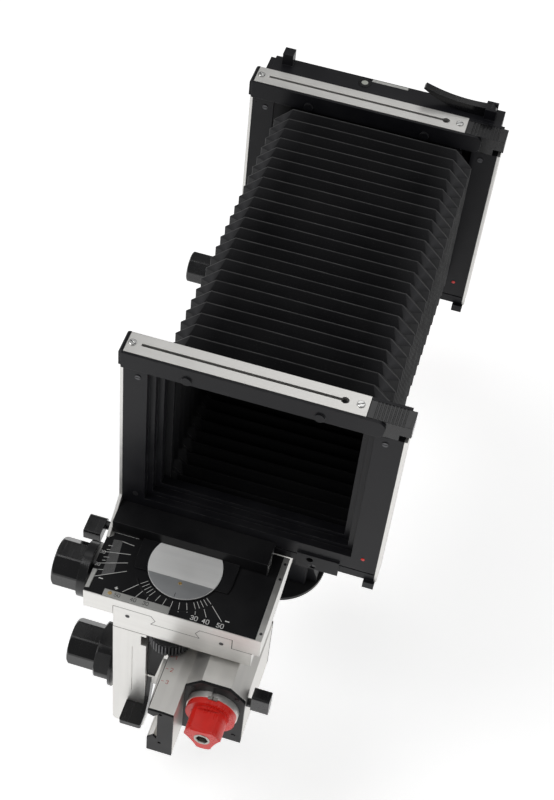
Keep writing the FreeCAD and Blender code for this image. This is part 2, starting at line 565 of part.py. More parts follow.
def end_cap():
    """Red cap that locks in the front end of the rail: a three-sided grip with a hexagon socket."""
    plug = rod("y", RAIL_BORE_R - PIN_GAP, RAIL_Y0, RAIL_Y0 + 9, 0, RAIL_Z)
    flange = rod("y", 16.8, RAIL_Y0 - 4, RAIL_Y0, 0, RAIL_Z)
    end_y = RAIL_Y0 - 21
    grip = rod("y", CAP_GRIP_R, end_y, RAIL_Y0 - 4, 0, RAIL_Z)
    for i in range(3):
        flute = rod("y", CAP_FLUTE_R, end_y - 1, RAIL_Y0 - 5.5, 0, RAIL_Z + CAP_WAIST_R + CAP_FLUTE_R)
        grip = grip.cut(turned(flute, "y", CAP_TURN + 120.0 * i, (0, 0, RAIL_Z)))
    grip = grip.makeChamfer(0.8, [e for e in grip.Edges if abs(e.CenterOfMass.y - end_y) < 0.01])
    socket_r = 4.6
    turns = [math.radians(60 * i) for i in range(6)]
    socket = [(socket_r * math.cos(a), RAIL_Z + socket_r * math.sin(a)) for a in turns]
    return joined(plug, flange, grip).cut(prism("y", socket, end_y - 1, end_y + 7))


def tripod_plate():
    plate = joined(rod("z", PLATE_R, 0, PLATE_T, 0, 0), rod("z", 11.0, 0, 14.0, 0, 0))
    return plate.cut(rod("z", TRIPOD_THREAD_R, -1, TRIPOD_THREAD_DEPTH, 0, 0))


def tripod_clamp():
    """Lower half of the rail clamp, on sloped webs, with the jaw's hinge pin on the left."""
    hx, hy = TRIPOD_HALF_X, TRIPOD_HALF_Y
    saddle = box(-hx, hx, -hy, hy, PLATE_T, RAIL_Z - 0.3)
    web = prism("y", [(-33, PLATE_T), (33, PLATE_T), (33, 8), (hx, 30), (-hx, 30), (-33, 8)], -12, 12)
    body = joined(saddle, web).cut(rod("y", RAIL_R + SLIDE_GAP, -hy - 1, hy + 1, 0, RAIL_Z))
    body = body.cut(rod("z", 11.0 + PIN_GAP, PLATE_T - 1, 14.1, 0, 0))
    knuckle_x = -hx - 1.5
    body = body.cut(rod("y", 5.2, -6.1, 6.1, knuckle_x, RAIL_Z))
    ends = [rod("y", 4.8, a, b, knuckle_x, RAIL_Z) for a, b in ((-hy, -6.1), (6.1, hy))]
    pin = rod("y", 2.0, -hy, hy, knuckle_x, RAIL_Z)
    arms = [box(knuckle_x - 4, -hx + 2, a, b, RAIL_Z - 14, RAIL_Z) for a, b in ((-hy, -6.1), (6.1, hy))]
    bore = rod("x", 3.0 + PIN_GAP, hx - 5, hx + 1, 0, TRIPOD_LEVER_Z)
    return joined(body.cut(bore), pin, *ends, *arms)


def tripod_jaw():
    """Upper half of the rail clamp, hinged on the left."""
    hx, hy = TRIPOD_HALF_X, TRIPOD_HALF_Y
    top = box(-hx + 4.2, hx, -hy + 0.4, hy - 0.4, RAIL_Z + 0.3, RAIL_Z + 25)
    for x, inward in ((hx, -1), (-hx + 4.2, 1)):
        corner = [(x + 9 * inward, RAIL_Z + 25.1), (x - 0.1 * inward, RAIL_Z + 16), (x - inward, RAIL_Z + 26)]
        top = top.cut(prism("y", corner, -hy - 1, hy + 1))
    knuckle_x = -hx - 1.5
    hinge = rod("y", 4.8, -5.8, 5.8, knuckle_x, RAIL_Z)
    arm = box(knuckle_x, -hx + 5, -5.8, 5.8, RAIL_Z + 0.3, RAIL_Z + 4.8)
    body = joined(top, hinge, arm)
    body = body.cut(rod("y", RAIL_R + SLIDE_GAP, -hy - 1, hy + 1, 0, RAIL_Z))
    return body.cut(rod("y", 2.0 + PIN_GAP, -6, 6, knuckle_x, RAIL_Z))


def square_tube(half, y0, y1):
    """Sheared square prism whose centre runs from the front frame's to the rear frame's."""
    wires = []
    for y, dx, dz in ((y0, 0.0, 0.0), (y1, REAR_SHIFT, BELLOWS_REAR_RISE)):
        cx, cz = BELLOWS_X + dx, BELLOWS_Z + dz
        corners = [V(cx + sx * half, y, cz + sz * half) for sx, sz in ((-1, -1), (1, -1), (1, 1), (-1, 1))]
        wires.append(Part.makePolygon(corners + corners[:1]))
    return Part.makeLoft(wires, True, True)


def bellows():
    y0 = FRAME_Y1 + BELLOWS_PLATE_T
    y1 = FRAME_Y0 + FRAME_SPACING - LOCK_T - 1.4
    return square_tube(BELLOWS_HALF, y0, y1).cut(square_tube(BELLOWS_HALF - BELLOWS_WALL, y0, y1))


def front_bellows_plate():
    half = 73.0
    plate = box(BELLOWS_X - half, BELLOWS_X + half, FRAME_Y1, FRAME_Y1 + BELLOWS_PLATE_T,
                BELLOWS_Z - half, BELLOWS_Z + half)
    window = box(BELLOWS_X - COLLAR_HALF, BELLOWS_X + COLLAR_HALF, FRAME_Y1 - 1, FRAME_Y1 + 4,
                 BELLOWS_Z - COLLAR_HALF, BELLOWS_Z + COLLAR_HALF)
    return plate.cut(window)


def rear_bellows_plate():
    """Plate in the rear frame's recess, held by the lock strip, with a collar that the fabric is glued to."""
    x0, x1 = OPEN_X0 + REAR_SHIFT + 0.3, TOP_TRIM_X1 + REAR_SHIFT - 0.3
    z0, z1 = OPEN_Z0 + REAR_RISE + 0.3, OPEN_Z1 + REAR_RISE + LIP - 0.3
    face = FRAME_Y0 + FRAME_SPACING
    plate = box(x0, x1, face + 0.2, face + 0.2 + BELLOWS_PLATE_T, z0, z1)
    cx, cz = BELLOWS_X + REAR_SHIFT, CENTRE_Z + REAR_RISE
    half, inside = COLLAR_HALF, COLLAR_HALF - 2
    collar = box(cx - half, cx + half, face - 3, face + 0.5, cz - half, cz + half)
    window = box(cx - inside, cx + inside, face - 4, face + 4, cz - inside, cz + inside)
    return joined(plate, collar).cut(window)


def back_parts():
    """Ground-glass back: fixed frame, sprung glass holder, glass, release lever and level."""
    cx, cz = CENTRE_X + REAR_SHIFT, CENTRE_Z + REAR_RISE
    top = FRAME_TOP + REAR_RISE
    y0 = FRAME_Y1 + FRAME_SPACING
    y1 = y0 + BACK_D
    x0, x1 = -85.0, 79.5
    holder_w, holder_h = 74.0, 62.0
    body = box(x0, x1, y0, y1, BACK_BOTTOM, top)
    body = body.cut(box(cx - holder_w - 0.3, cx + holder_w + 0.3, y0 + 5, y1 + 1,
                        cz - holder_h - 0.3, cz + holder_h + 0.3))
    body = body.cut(box(cx - 64, cx + 64, y0 - 1, y0 + 6, cz - 51, cz + 51))
    post = box(-79.0, -71.5, y1 - 8, y1, top, top + 9)
    cap = box(-88.5, x0, y0 + 1.5, y1 - 1.5, top - 14, top - 1)
    level_seat = rod("z", 4.5, top - 3, top + 1, -19.5, y0 + 9.6)
    bracket = [box(66.0, 74.0, y, y + 2.0, top, top + 8.0) for y in (y0 + 3.0, y0 + 11.2)]
    pin = rod("y", 1.5, y0 + 3.0, y0 + 13.2, 70.0, top + 4.5)
    pale_strip_seat = box(-18.5, 11.0, y1 - 3.2, y1 - 0.4, top - 0.6, top + 1)
    back = joined(body.cut(level_seat).cut(pale_strip_seat), post, cap, *bracket)
    holder = box(cx - holder_w, cx + holder_w, y0 + 5.2, y1 - 0.8, cz - holder_h, cz + holder_h)
    holder = holder.cut(box(cx - 60, cx + 60, y0, y1, cz - 48, cz + 48))
    glass_y = y0 + 7.2
    holder = holder.cut(box(cx - GLASS_W / 2 - 0.1, cx + GLASS_W / 2 + 0.1, y0 + 5, glass_y + GLASS_T,
                            cz - GLASS_H / 2 - 0.1, cz + GLASS_H / 2 + 0.1))
    glass = box(cx - GLASS_W / 2, cx + GLASS_W / 2, glass_y, glass_y + GLASS_T,
                cz - GLASS_H / 2, cz + GLASS_H / 2)
    return {
        "back_frame": joined(back, pin),
        "glass_frame": holder,
        "ground_glass": glass,
        "back_lever": back_lever(y0 + 5.2, y0 + 11.0, top),
        "back_level": joined(rod("z", 4.4, top - 3, top - 0.6, -19.5, y0 + 9.6),
                             rod("z", 3.4, top - 0.6, top + 0.6, -19.5, y0 + 9.6)),
    }


def back_lever(y0, y1, top):
    """Curved release lever on top of the back, on a pin along Y at its right end."""
    hub = rod("y", 3.6, y0, y1, 70.0, top + 4.5)
    upper = [V(70, y0, top + 8.1), V(48, y0, top + 7.4), V(23, y0, top + 12.5)]
    lower = [V(22, y0, top + 11.2), V(42, y0, top + 2.2), V(70, y0, top + 0.9)]
    edge_up = Part.BSplineCurve()
    edge_up.interpolate(upper)
    edge_low = Part.BSplineCurve()
    edge_low.interpolate(lower)
    outline = Part.Wire([edge_up.toShape(), Part.makeLine(upper[-1], lower[0]), edge_low.toShape(),
                         Part.makeLine(lower[-1], upper[0])])
    blade = Part.Face(outline).extrude(V(0, y1 - y0, 0))
    return joined(hub, blade).cut(rod("y", 1.5 + PIN_GAP, y0 - 1, y1 + 1, 70.0, top + 4.5))


def depth_knob():
    """Small knob on a long shaft that stands out from the rear carriage."""
    grip = flatted_knob(13.2, -143.5, -124.0, 8, DEPTH_Y, DEPTH_Z, 0.8)
    sleeve = rod("x", 8.5, -124.5, -116.0, DEPTH_Y, DEPTH_Z)
    return joined(grip, sleeve, rod("x", 3.0, -116.5, CARRIAGE_X0 + 8, DEPTH_Y, DEPTH_Z))


def all_nodes():
    nodes = {}
    for name, shape in standard().items():
        nodes["front_" + name] = shape
        nodes["rear_" + name] = rear_of(name, shape)
    nodes["rear_tray"] = rear_of("tray", tray(1))
    nodes["rear_frame_trim"] = rear_of("frame_trim", frame_trim(1))
    for name in ("tilt_knob", "tilt_lever"):
        nodes["rear_" + name] = rear_of(name, to_right_side(nodes["front_" + name]))
    depth_bore = rod("x", 3.0 + PIN_GAP, CARRIAGE_X0 - 1, CARRIAGE_X0 + 8.5, DEPTH_Y, DEPTH_Z)
    nodes["rear_carriage"] = nodes["rear_carriage"].cut(depth_bore)
    cap = end_cap()
    nodes.update(back_parts())
    nodes.update({
        "rail": rail(),
        "front_rail_cap": cap,
        "rear_rail_cap": mirrored(cap),
        "tripod_plate": tripod_plate(),
        "tripod_clamp": tripod_clamp(),
        "tripod_jaw": tripod_jaw(),
        "tripod_lever": paddle(TRIPOD_HALF_X + 2.4, TRIPOD_HALF_X + 14.4, 0.0, TRIPOD_LEVER_Z,
                               15.0, 9.0, -90.0, TRIPOD_HALF_X - 4.5),
        "bellows": bellows(),
        "front_bellows_plate": front_bellows_plate(),
        "rear_bellows_plate": rear_bellows_plate(),
        "depth_knob": depth_knob(),
    })
    return nodes


os.makedirs("parts", exist_ok=True)
for node, solid in sorted(all_nodes().items()):
    if not solid.isValid():
        raise ValueError(node + " is not a valid shape")
    solid.exportStep("parts/" + node + ".step")
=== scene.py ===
"""Looks for the monorail view camera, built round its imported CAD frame.

Lengths in this script are millimetres in the row frame and become metres when a mesh is made. +X is to the
right seen from the lens side, +Y runs from the lens side to the ground glass, and +Z is up.
"""

import json
import math

import bpy
from mathutils import Matrix, Vector


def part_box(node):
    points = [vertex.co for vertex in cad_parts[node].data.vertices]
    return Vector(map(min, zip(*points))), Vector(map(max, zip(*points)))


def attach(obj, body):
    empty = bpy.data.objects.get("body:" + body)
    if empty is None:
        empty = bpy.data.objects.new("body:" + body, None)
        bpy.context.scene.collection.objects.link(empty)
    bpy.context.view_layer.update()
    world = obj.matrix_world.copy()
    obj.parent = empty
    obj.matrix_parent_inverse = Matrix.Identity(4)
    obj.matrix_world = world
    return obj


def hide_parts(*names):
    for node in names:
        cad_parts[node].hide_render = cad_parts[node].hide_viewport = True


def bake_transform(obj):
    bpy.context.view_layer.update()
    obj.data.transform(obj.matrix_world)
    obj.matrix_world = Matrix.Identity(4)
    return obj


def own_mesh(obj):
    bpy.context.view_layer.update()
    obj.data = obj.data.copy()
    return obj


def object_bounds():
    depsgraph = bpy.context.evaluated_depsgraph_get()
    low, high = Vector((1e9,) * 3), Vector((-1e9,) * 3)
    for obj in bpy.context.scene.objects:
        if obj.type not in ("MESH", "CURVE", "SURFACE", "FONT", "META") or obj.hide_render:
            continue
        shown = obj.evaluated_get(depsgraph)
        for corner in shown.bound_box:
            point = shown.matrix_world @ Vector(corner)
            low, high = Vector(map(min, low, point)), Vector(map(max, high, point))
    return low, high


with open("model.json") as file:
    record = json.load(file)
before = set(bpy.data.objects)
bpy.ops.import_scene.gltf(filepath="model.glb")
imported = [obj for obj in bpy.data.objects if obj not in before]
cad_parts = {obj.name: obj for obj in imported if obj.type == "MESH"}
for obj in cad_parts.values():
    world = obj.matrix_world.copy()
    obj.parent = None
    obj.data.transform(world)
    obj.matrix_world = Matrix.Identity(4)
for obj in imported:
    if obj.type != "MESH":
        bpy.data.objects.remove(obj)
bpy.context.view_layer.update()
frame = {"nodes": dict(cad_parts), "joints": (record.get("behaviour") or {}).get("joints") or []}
MM = 0.001


def corners(node):
    """Lowest and highest corners of a CAD node in millimetres."""
    low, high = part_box(node)
    return [v / MM for v in low], [v / MM for v in high]


# ---------------------------------------------------------------- materials

class Shader:
    """A small builder for node materials."""

    def __init__(self, name):
        self.material = bpy.data.materials.new(name)
        self.material.use_nodes = True
        self.tree = self.material.node_tree
        self.surface = self.tree.nodes["Principled BSDF"]

    def add(self, kind, **values):
        node = self.tree.nodes.new(kind)
        for key, value in values.items():
            if hasattr(node, key):
                setattr(node, key, value)
            else:
                node.inputs[key].default_value = value
        return node

    def link(self, source, target):
        self.tree.links.new(source, target)

    def place(self, scale):
        """Row-frame coordinates, scaled in X, Y and Z."""
        coordinates = self.add("ShaderNodeTexCoord")
        mapping = self.add("ShaderNodeMapping")
        mapping.inputs["Scale"].default_value = scale
        self.link(coordinates.outputs["Object"], mapping.inputs["Vector"])
        return mapping.outputs["Vector"]

    def noise(self, scale, detail=3.0, stretch=(1, 1, 1), rough=0.5):
        node = self.add("ShaderNodeTexNoise", Scale=scale, Detail=detail, Roughness=rough)
        self.link(self.place(stretch), node.inputs["Vector"])
        return node.outputs["Fac"]

    def ramp(self, source, low, high, start, end):
        """Maps source from start..end to low..high."""
        node = self.add("ShaderNodeMapRange")
        for key, value in (("From Min", start), ("From Max", end), ("To Min", low), ("To Max", high)):
            node.inputs[key].default_value = value
        self.link(source, node.inputs["Value"])
        return node.outputs["Result"]

    def math(self, operation, a, b):
        node = self.add("ShaderNodeMath", operation=operation)
        for index, value in enumerate((a, b)):
            if isinstance(value, (int, float)):
                node.inputs[index].default_value = value
            else:
                self.link(value, node.inputs[index])
        return node.outputs[0]

    def mix(self, factor, a, b):
        """Mixes two colours, each a tuple or a socket."""
        node = self.add("ShaderNodeMix", data_type="RGBA")
        if isinstance(factor, (int, float)):
            node.inputs[0].default_value = factor
        else:
            self.link(factor, node.inputs[0])
        for index, value in ((6, a), (7, b)):
            if isinstance(value, tuple):
                node.inputs[index].default_value = (*value, 1)
            else:
                self.link(value, node.inputs[index])
        return node.outputs[2]

    def rounded_edges(self, radius):
        """A softened normal, and a mask that is 1 along sharp edges."""
        bevel = self.add("ShaderNodeBevel", samples=4, Radius=radius * MM)
        geometry = self.add("ShaderNodeNewGeometry")
        dot = self.add("ShaderNodeVectorMath", operation="DOT_PRODUCT")
        self.link(bevel.outputs[0], dot.inputs[0])
        self.link(geometry.outputs["Normal"], dot.inputs[1])
        return bevel.outputs[0], self.ramp(dot.outputs["Value"], 1.0, 0.0, 0.75, 0.97)

    def bump(self, heights, normal=None):
        """Adds bump layers, each (height socket, distance in mm, strength)."""
        for height, distance, strength in heights:
            node = self.add("ShaderNodeBump", Strength=strength, Distance=distance * MM)
            self.link(height, node.inputs["Height"])
            if normal is not None:
                self.link(normal, node.inputs["Normal"])
            normal = node.outputs[0]
        self.link(normal, self.surface.inputs["Normal"])

    def set(self, **values):
        for key, value in values.items():
            socket = self.surface.inputs[key.replace("_", " ")]
            if hasattr(value, "is_output"):
                self.link(value, socket)
            elif isinstance(value, tuple):
                socket.default_value = (*value, 1)
            else:
                socket.default_value = value
        return self.material


def satin_metal(name, colour, rough, brush, metallic=0.9):
    """Anodised aluminium: fine brush lines along one axis, cloudy roughness, paler rubbed edges."""
    s = Shader(name)
    normal, edge = s.rounded_edges(0.35)
    cloud = s.noise(22, 4)
    lines = s.noise(260, 2, brush)
    grain = s.noise(2600, 2)
    dark = tuple(c * 0.92 for c in colour)
    pale = tuple(min(1.0, c * 1.12) for c in colour)
    body = s.mix(s.ramp(cloud, 0, 1, 0.35, 0.65), dark, colour)
    body = s.mix(s.ramp(lines, 0, 0.18, 0.4, 0.62), body, pale)
    body = s.mix(s.math("MULTIPLY", edge, s.ramp(s.noise(140, 4), 0.2, 0.9, 0.4, 0.6)), body, pale)
    s.bump([(lines, 0.02, 0.18), (grain, 0.006, 0.35)], normal)
    roughness = s.math("ADD", s.ramp(cloud, rough - 0.06, rough + 0.08, 0.3, 0.7),
                       s.ramp(lines, -0.02, 0.02, 0.3, 0.7))
    return s.set(Base_Color=body, Roughness=roughness, Metallic=metallic)


def black_lacquer(name, colour, rough, peel):
    """Semi-gloss black: orange peel, dust, faint greying and rubbed edges."""
    s = Shader(name)
    normal, edge = s.rounded_edges(0.4)
    cloud = s.noise(30, 5)
    fine = s.noise(900, 3)
    dust = s.ramp(s.noise(5200, 1), 0.0, 0.5, 0.68, 0.76)
    grey = tuple(min(1.0, c + 0.008) for c in colour)
    worn = tuple(min(1.0, c + 0.11) for c in colour)
    body = s.mix(s.ramp(cloud, 0, 0.8, 0.4, 0.7), colour, grey)
    body = s.mix(s.math("MULTIPLY", dust, 0.14), body, (0.5, 0.5, 0.5))
    body = s.mix(s.math("MULTIPLY", edge, s.ramp(s.noise(160, 5), 0.05, 0.75, 0.42, 0.62)), body, worn)
    s.bump([(fine, 0.02, peel)], normal)
    roughness = s.math("ADD", s.ramp(cloud, rough - 0.05, rough + 0.1, 0.3, 0.7),
                       s.math("MULTIPLY", dust, 0.3))
    return s.set(Base_Color=body, Roughness=roughness, Specular_IOR_Level=0.2)


def moulded(name, colour, rough):
    """Glossy moulded plastic with faint flow marks, fine scratches, softened edges and a painted highlight
    along them.
    """
    s = Shader(name)
    normal, edge = s.rounded_edges(0.6)
    flow = s.noise(55, 4, (1, 1, 0.35))
    scratch = s.noise(700, 2, (1, 0.08, 1))
    deep = tuple(c * 0.8 for c in colour)
    pale = tuple(min(1.0, c * 1.15 + 0.02) for c in colour)
    body = s.mix(s.ramp(flow, 0, 1, 0.35, 0.65), deep, colour)
    # Paler along every sharp edge: a painted edge highlight.
    body = s.mix(s.math("MULTIPLY", edge, 0.5), body, pale)
    s.bump([(flow, 0.12, 0.12), (scratch, 0.008, 0.25)], normal)
    roughness = s.math("ADD", s.ramp(flow, rough - 0.05, rough + 0.06, 0.3, 0.7),
                       s.ramp(scratch, 0, 0.1, 0.5, 0.7))
    return s.set(Base_Color=body, Roughness=roughness, Specular_IOR_Level=0.55)


def turned_metal(name, colour, rough):
    """Bright machined metal: tight circular grain seen as fine noise, with a few darker specks and a painted
    highlight along sharp edges.
    """
    s = Shader(name)
    normal, edge = s.rounded_edges(0.15)
    grain = s.noise(3400, 3)
    speck = s.ramp(s.noise(420, 4), 0.0, 1.0, 0.62, 0.72)
    body = s.mix(s.math("MULTIPLY", speck, 0.35), colour, tuple(c * 0.5 for c in colour))
    # Brighter along every sharp edge: a painted edge highlight.
    body = s.mix(s.math("MULTIPLY", edge, 0.4), body, tuple(min(1.0, c * 1.15) for c in colour))
    s.bump([(grain, 0.008, 0.5)], normal)
    return s.set(Base_Color=body, Roughness=s.ramp(grain, rough - 0.07, rough + 0.1, 0.3, 0.7), Metallic=1.0)


def pleated_cloth(name):
    """Coated black cloth: a fine weave, a dull sheen, painted highlights along the fold crests and painted
    highlights at the corners.
    """
    s = Shader(name)
    fold = s.add("ShaderNodeAttribute", attribute_name="fold").outputs["Fac"]
    corner = s.add("ShaderNodeAttribute", attribute_name="corner").outputs["Fac"]
    weave_a = s.add("ShaderNodeTexWave", Scale=620.0, Distortion=0.6, bands_direction="X")
    weave_b = s.add("ShaderNodeTexWave", Scale=620.0, Distortion=0.6, bands_direction="DIAGONAL")
    for weave in (weave_a, weave_b):
        s.link(s.place((1, 1, 1)), weave.inputs["Vector"])
    weave = s.math("MULTIPLY", weave_a.outputs["Fac"], weave_b.outputs["Fac"])
    cloud = s.noise(26, 5)
    lint = s.ramp(s.noise(2400, 2), 0.0, 1.0, 0.66, 0.75)
    # Painted highlight along the fold crests, broken up by noise.
    fold_highlight = s.math("MULTIPLY", fold, s.ramp(s.noise(90, 4), 0.55, 1.0, 0.35, 0.6))
    body = s.mix(s.ramp(cloud, 0, 1, 0.35, 0.7), (0.003, 0.003, 0.004), (0.007, 0.007, 0.008))
    # Painted highlight on the bellows corners.
    body = s.mix(s.math("MULTIPLY", corner, 0.8), body, (0.045, 0.045, 0.048))
    body = s.mix(fold_highlight, body, (0.10, 0.10, 0.10))
    body = s.mix(s.math("MULTIPLY", lint, 0.10), body, (0.4, 0.4, 0.4))
    s.bump([(weave, 0.03, 0.35), (s.noise(60, 4), 0.35, 0.2)],
           s.add("ShaderNodeNewGeometry").outputs["Normal"])
    return s.set(Base_Color=body, Roughness=s.ramp(cloud, 0.52, 0.7, 0.3, 0.7), Sheen_Weight=0.04,
                 Sheen_Roughness=0.4, Specular_IOR_Level=0.2)


def frosted_glass(name):
    """Ground glass: fine etched grain over a milky body."""
    s = Shader(name)
    grain = s.noise(3800, 3)
    s.bump([(grain, 0.02, 0.5)], s.add("ShaderNodeNewGeometry").outputs["Normal"])
    body = s.mix(s.ramp(s.noise(14, 3), 0, 1, 0.4, 0.6), (0.80, 0.84, 0.84), (0.86, 0.89, 0.88))
    return s.set(Base_Color=body, Roughness=s.ramp(grain, 0.42, 0.6, 0.3, 0.7), Transmission_Weight=0.75)


def level_fluid(name):
    """Spirit level: pale fluid under a clear dome."""
    s = Shader(name)
    body = s.mix(s.ramp(s.noise(300, 2), 0, 1, 0.4, 0.6), (0.78, 0.81, 0.72), (0.85, 0.87, 0.79))
    s.bump([(s.noise(800, 2), 0.01, 0.2)], s.add("ShaderNodeNewGeometry").outputs["Normal"])
    return s.set(Base_Color=body, Roughness=0.06, Transmission_Weight=0.45, Coat_Weight=1.0)


def ink(name, colour):
    """Filled engraving: matt ink with a slightly broken surface."""
    s = Shader(name)
    broken = s.noise(1500, 4)
    body = s.mix(s.ramp(broken, 0, 0.5, 0.5, 0.75), colour, tuple(c * 0.6 + 0.1 for c in colour))
    s.bump([(broken, 0.01, 0.3)], s.add("ShaderNodeNewGeometry").outputs["Normal"])
    return s.set(Base_Color=body, Roughness=0.6)


def backdrop(name):
    """Pale paper with a little light of its own, so that it stays near white."""
    s = Shader(name)
    body = s.mix(s.ramp(s.noise(1.2, 3), 0, 1, 0.4, 0.6), (0.90, 0.90, 0.90), (0.93, 0.93, 0.93))
    s.set(Base_Color=body, Roughness=0.8, Specular_IOR_Level=0.2)
    s.surface.inputs["Emission Color"].default_value = (1, 1, 1, 1)
    s.surface.inputs["Emission Strength"].default_value = 0.55
    return s.material


ALONG_X = (0.04, 1, 1)
ALONG_Y = (1, 0.04, 1)
ALONG_Z = (1, 1, 0.04)
ALUMINIUM_X = satin_metal("aluminium brushed along X", (0.80, 0.79, 0.765), 0.40, ALONG_X)
ALUMINIUM_Y = satin_metal("aluminium brushed along Y", (0.80, 0.785, 0.755), 0.40, ALONG_Y)
ALUMINIUM_Z = satin_metal("aluminium brushed along Z", (0.80, 0.79, 0.765), 0.42, ALONG_Z)
PALE_PLATE = satin_metal("pale satin plate", (0.88, 0.88, 0.87), 0.50, ALONG_X, 0.35)
STRIP = satin_metal("silver number strip", (0.56, 0.56, 0.54), 0.42, ALONG_X, 0.8)
HALF_MOON = satin_metal("grey satin half moon", (0.42, 0.43, 0.44), 0.45, ALONG_X, 0.6)
BLACK = black_lacquer("black lacquer", (0.007, 0.007, 0.008), 0.36, 0.25)
BLACK_MATT = black_lacquer("black crackle", (0.005, 0.005, 0.006), 0.55, 0.9)
GREY_BLACK = black_lacquer("worn black anodising", (0.008, 0.008, 0.010), 0.32, 0.3)
KNOB = moulded("black knob plastic", (0.006, 0.006, 0.007), 0.20)
RED = moulded("red cap plastic", (0.80, 0.020, 0.012), 0.26)
STEEL = turned_metal("screw steel", (0.72, 0.72, 0.71), 0.25)
DARK_STEEL = turned_metal("blackened steel", (0.10, 0.10, 0.105), 0.38)
NICKEL = turned_metal("dull nickel", (0.42, 0.41, 0.38), 0.35)
BRASS = turned_metal("rivet brass", (0.70, 0.50, 0.22), 0.28)
CLOTH = pleated_cloth("bellows cloth")
GLASS = frosted_glass("ground glass")
FLUID = level_fluid("level fluid")
WHITE_INK = ink("white scale ink", (0.92, 0.92, 0.90))
BLACK_INK = ink("black scale ink", (0.02, 0.02, 0.02))
GREY_INK = ink("grey hatch ink", (0.16, 0.16, 0.16))
RED_INK = ink("red scale ink", (0.55, 0.10, 0.06))

NODE_FINISH = {
    "clamp_block": ALUMINIUM_Y, "end_plates": BLACK, "focus_track": ALUMINIUM_Y, "clamp_lever": KNOB,
    "carriage": BLACK, "focus_knob": KNOB, "rise_knob": KNOB, "rise_lever": KNOB, "column": ALUMINIUM_Z,
    "shift_wheel": DARK_STEEL, "cross_plate": ALUMINIUM_X, "tray": ALUMINIUM_X, "tray_floor": BLACK_MATT,
    "tilt_knob": KNOB, "tilt_lever": KNOB, "swing_carrier": BLACK, "swing_index": PALE_PLATE,
    "frame": GREY_BLACK,
    "frame_trim": ALUMINIUM_X, "frame_screws": DARK_STEEL, "board_lock": GREY_BLACK, "lock_grip": KNOB,
    "bellows_plate": BLACK_MATT,
}
OTHER_FINISH = {
    "rail": ALUMINIUM_Y, "front_rail_cap": RED, "rear_rail_cap": RED, "tripod_plate": BLACK,
    "tripod_clamp": GREY_BLACK, "tripod_jaw": GREY_BLACK, "tripod_lever": KNOB, "back_frame": GREY_BLACK,
    "glass_frame": BLACK, "ground_glass": GLASS, "back_lever": KNOB, "back_level": FLUID, "depth_knob": KNOB,
}
for node, thing in frame["nodes"].items():
    plain = node.split("_", 1)[1] if node.split("_", 1)[0] in ("front", "rear") else node
    finish = OTHER_FINISH.get(node) or NODE_FINISH.get(plain) or CLOTH
    thing.data.materials.clear()
    thing.data.materials.append(finish)


# ---------------------------------------------------------------- helpers for pieces

def piece(name, points, faces, material, body=None):
    """A mesh from points in millimetres. It rides on body if one is named."""
    mesh = bpy.data.meshes.new(name)
    mesh.from_pydata([Vector(p) * MM for p in points], [], faces)
    mesh.validate()
    mesh.materials.append(material)
    thing = bpy.data.objects.new(name, mesh)
    bpy.context.scene.collection.objects.link(thing)
    if body:
        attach(thing, body)
    return thing


# ---------------------------------------------------------------- bellows

PLEATS = 24
FOLD_DEPTH = 7.0
MOUNTAIN_CORNER, VALLEY_CORNER = 13.0, 3.0
REAR_LIFT = 4.5
ROWS_PER_PLEAT = (0.0, 0.05, 0.15, 0.25, 0.35, 0.45, 0.5, 0.55, 0.65, 0.75, 0.85, 0.95)
FLAT_STEPS = 8
CLOTH_T = 0.5

bellows_low, bellows_high = corners("bellows")
BELLOWS_Y0, BELLOWS_Y1 = bellows_low[1], bellows_high[1]
BELLOWS_LENGTH = BELLOWS_Y1 - BELLOWS_Y0


def bellows_ends():
    """Centre and half width of the CAD tube at its two ends, from its corner vertices."""
    ends = []
    vertices = [v.co / MM for v in frame["nodes"]["bellows"].data.vertices]
    for y in (BELLOWS_Y0, BELLOWS_Y1):
        near = [v for v in vertices if abs(v.y - y) < 0.5]
        x0, x1 = min(v.x for v in near), max(v.x for v in near)
        z0, z1 = min(v.z for v in near), max(v.z for v in near)
        ends.append(((x0 + x1) / 2, (z0 + z1) / 2, (x1 - x0) / 2))
    return ends


BELLOWS_ENDS = bellows_ends()


def bellows_ring(pleat):
    """Points round the cloth at a place counted in pleats from the front, with weights for the painted
    highlights on the fold crests and at the corners.
    """
    share = pleat / PLEATS
    (cx0, cz0, half0), (cx1, cz1, half1) = BELLOWS_ENDS
    cx = cx0 + (cx1 - cx0) * share
    cz = cz0 + (cz1 + REAR_LIFT - cz0) * share - 1.6 * math.sin(math.pi * share)
    half = half0 + (half1 - half0) * share
    phase = abs((pleat % 1.0) - 0.5) * 2
    up = 1 - phase
    crest = min(1.0, up * 1.04)
    size = half - FOLD_DEPTH * (1 - crest)
    corner = VALLEY_CORNER + (MOUNTAIN_CORNER - VALLEY_CORNER) * crest
    y = BELLOWS_Y0 + BELLOWS_LENGTH * share
    outline = []
    for quarter in range(4):
        a = (size, -(size - corner))
        b = (size, size - corner)
        c = (size - corner, size)
        flat = [(a[0] + (b[0] - a[0]) * i / FLAT_STEPS, a[1] + (b[1] - a[1]) * i / FLAT_STEPS, 0.0)
                for i in range(FLAT_STEPS + 1)]
        flat[0] = (*flat[0][:2], 0.35)
        flat[-1] = (*flat[-1][:2], 0.35)
        middle = ((b[0] + c[0]) / 2, (b[1] + c[1]) / 2, 1.0)
        # Painted highlight on the corners, full on the side of each pleat that faces the lens side and weaker
        # on the other side.
        lit_side = 1.0 if pleat % 1.0 < 0.5 else 0.25
        for u, v, corner_highlight in flat + [middle]:
            angle = quarter * math.pi / 2
            outline.append((u * math.cos(angle) - v * math.sin(angle),
                            u * math.sin(angle) + v * math.cos(angle), corner_highlight * lit_side))
    wave = 0.22 * math.sin(7.3 * math.floor(pleat) + 1.3)
    ring = []
    for i, (u, v, corner_highlight) in enumerate(outline):
        ripple = wave * math.sin(i * 0.9 + pleat) * crest
        ring.append(((cx + u, y + ripple, cz + v), crest, corner_highlight))
    return ring


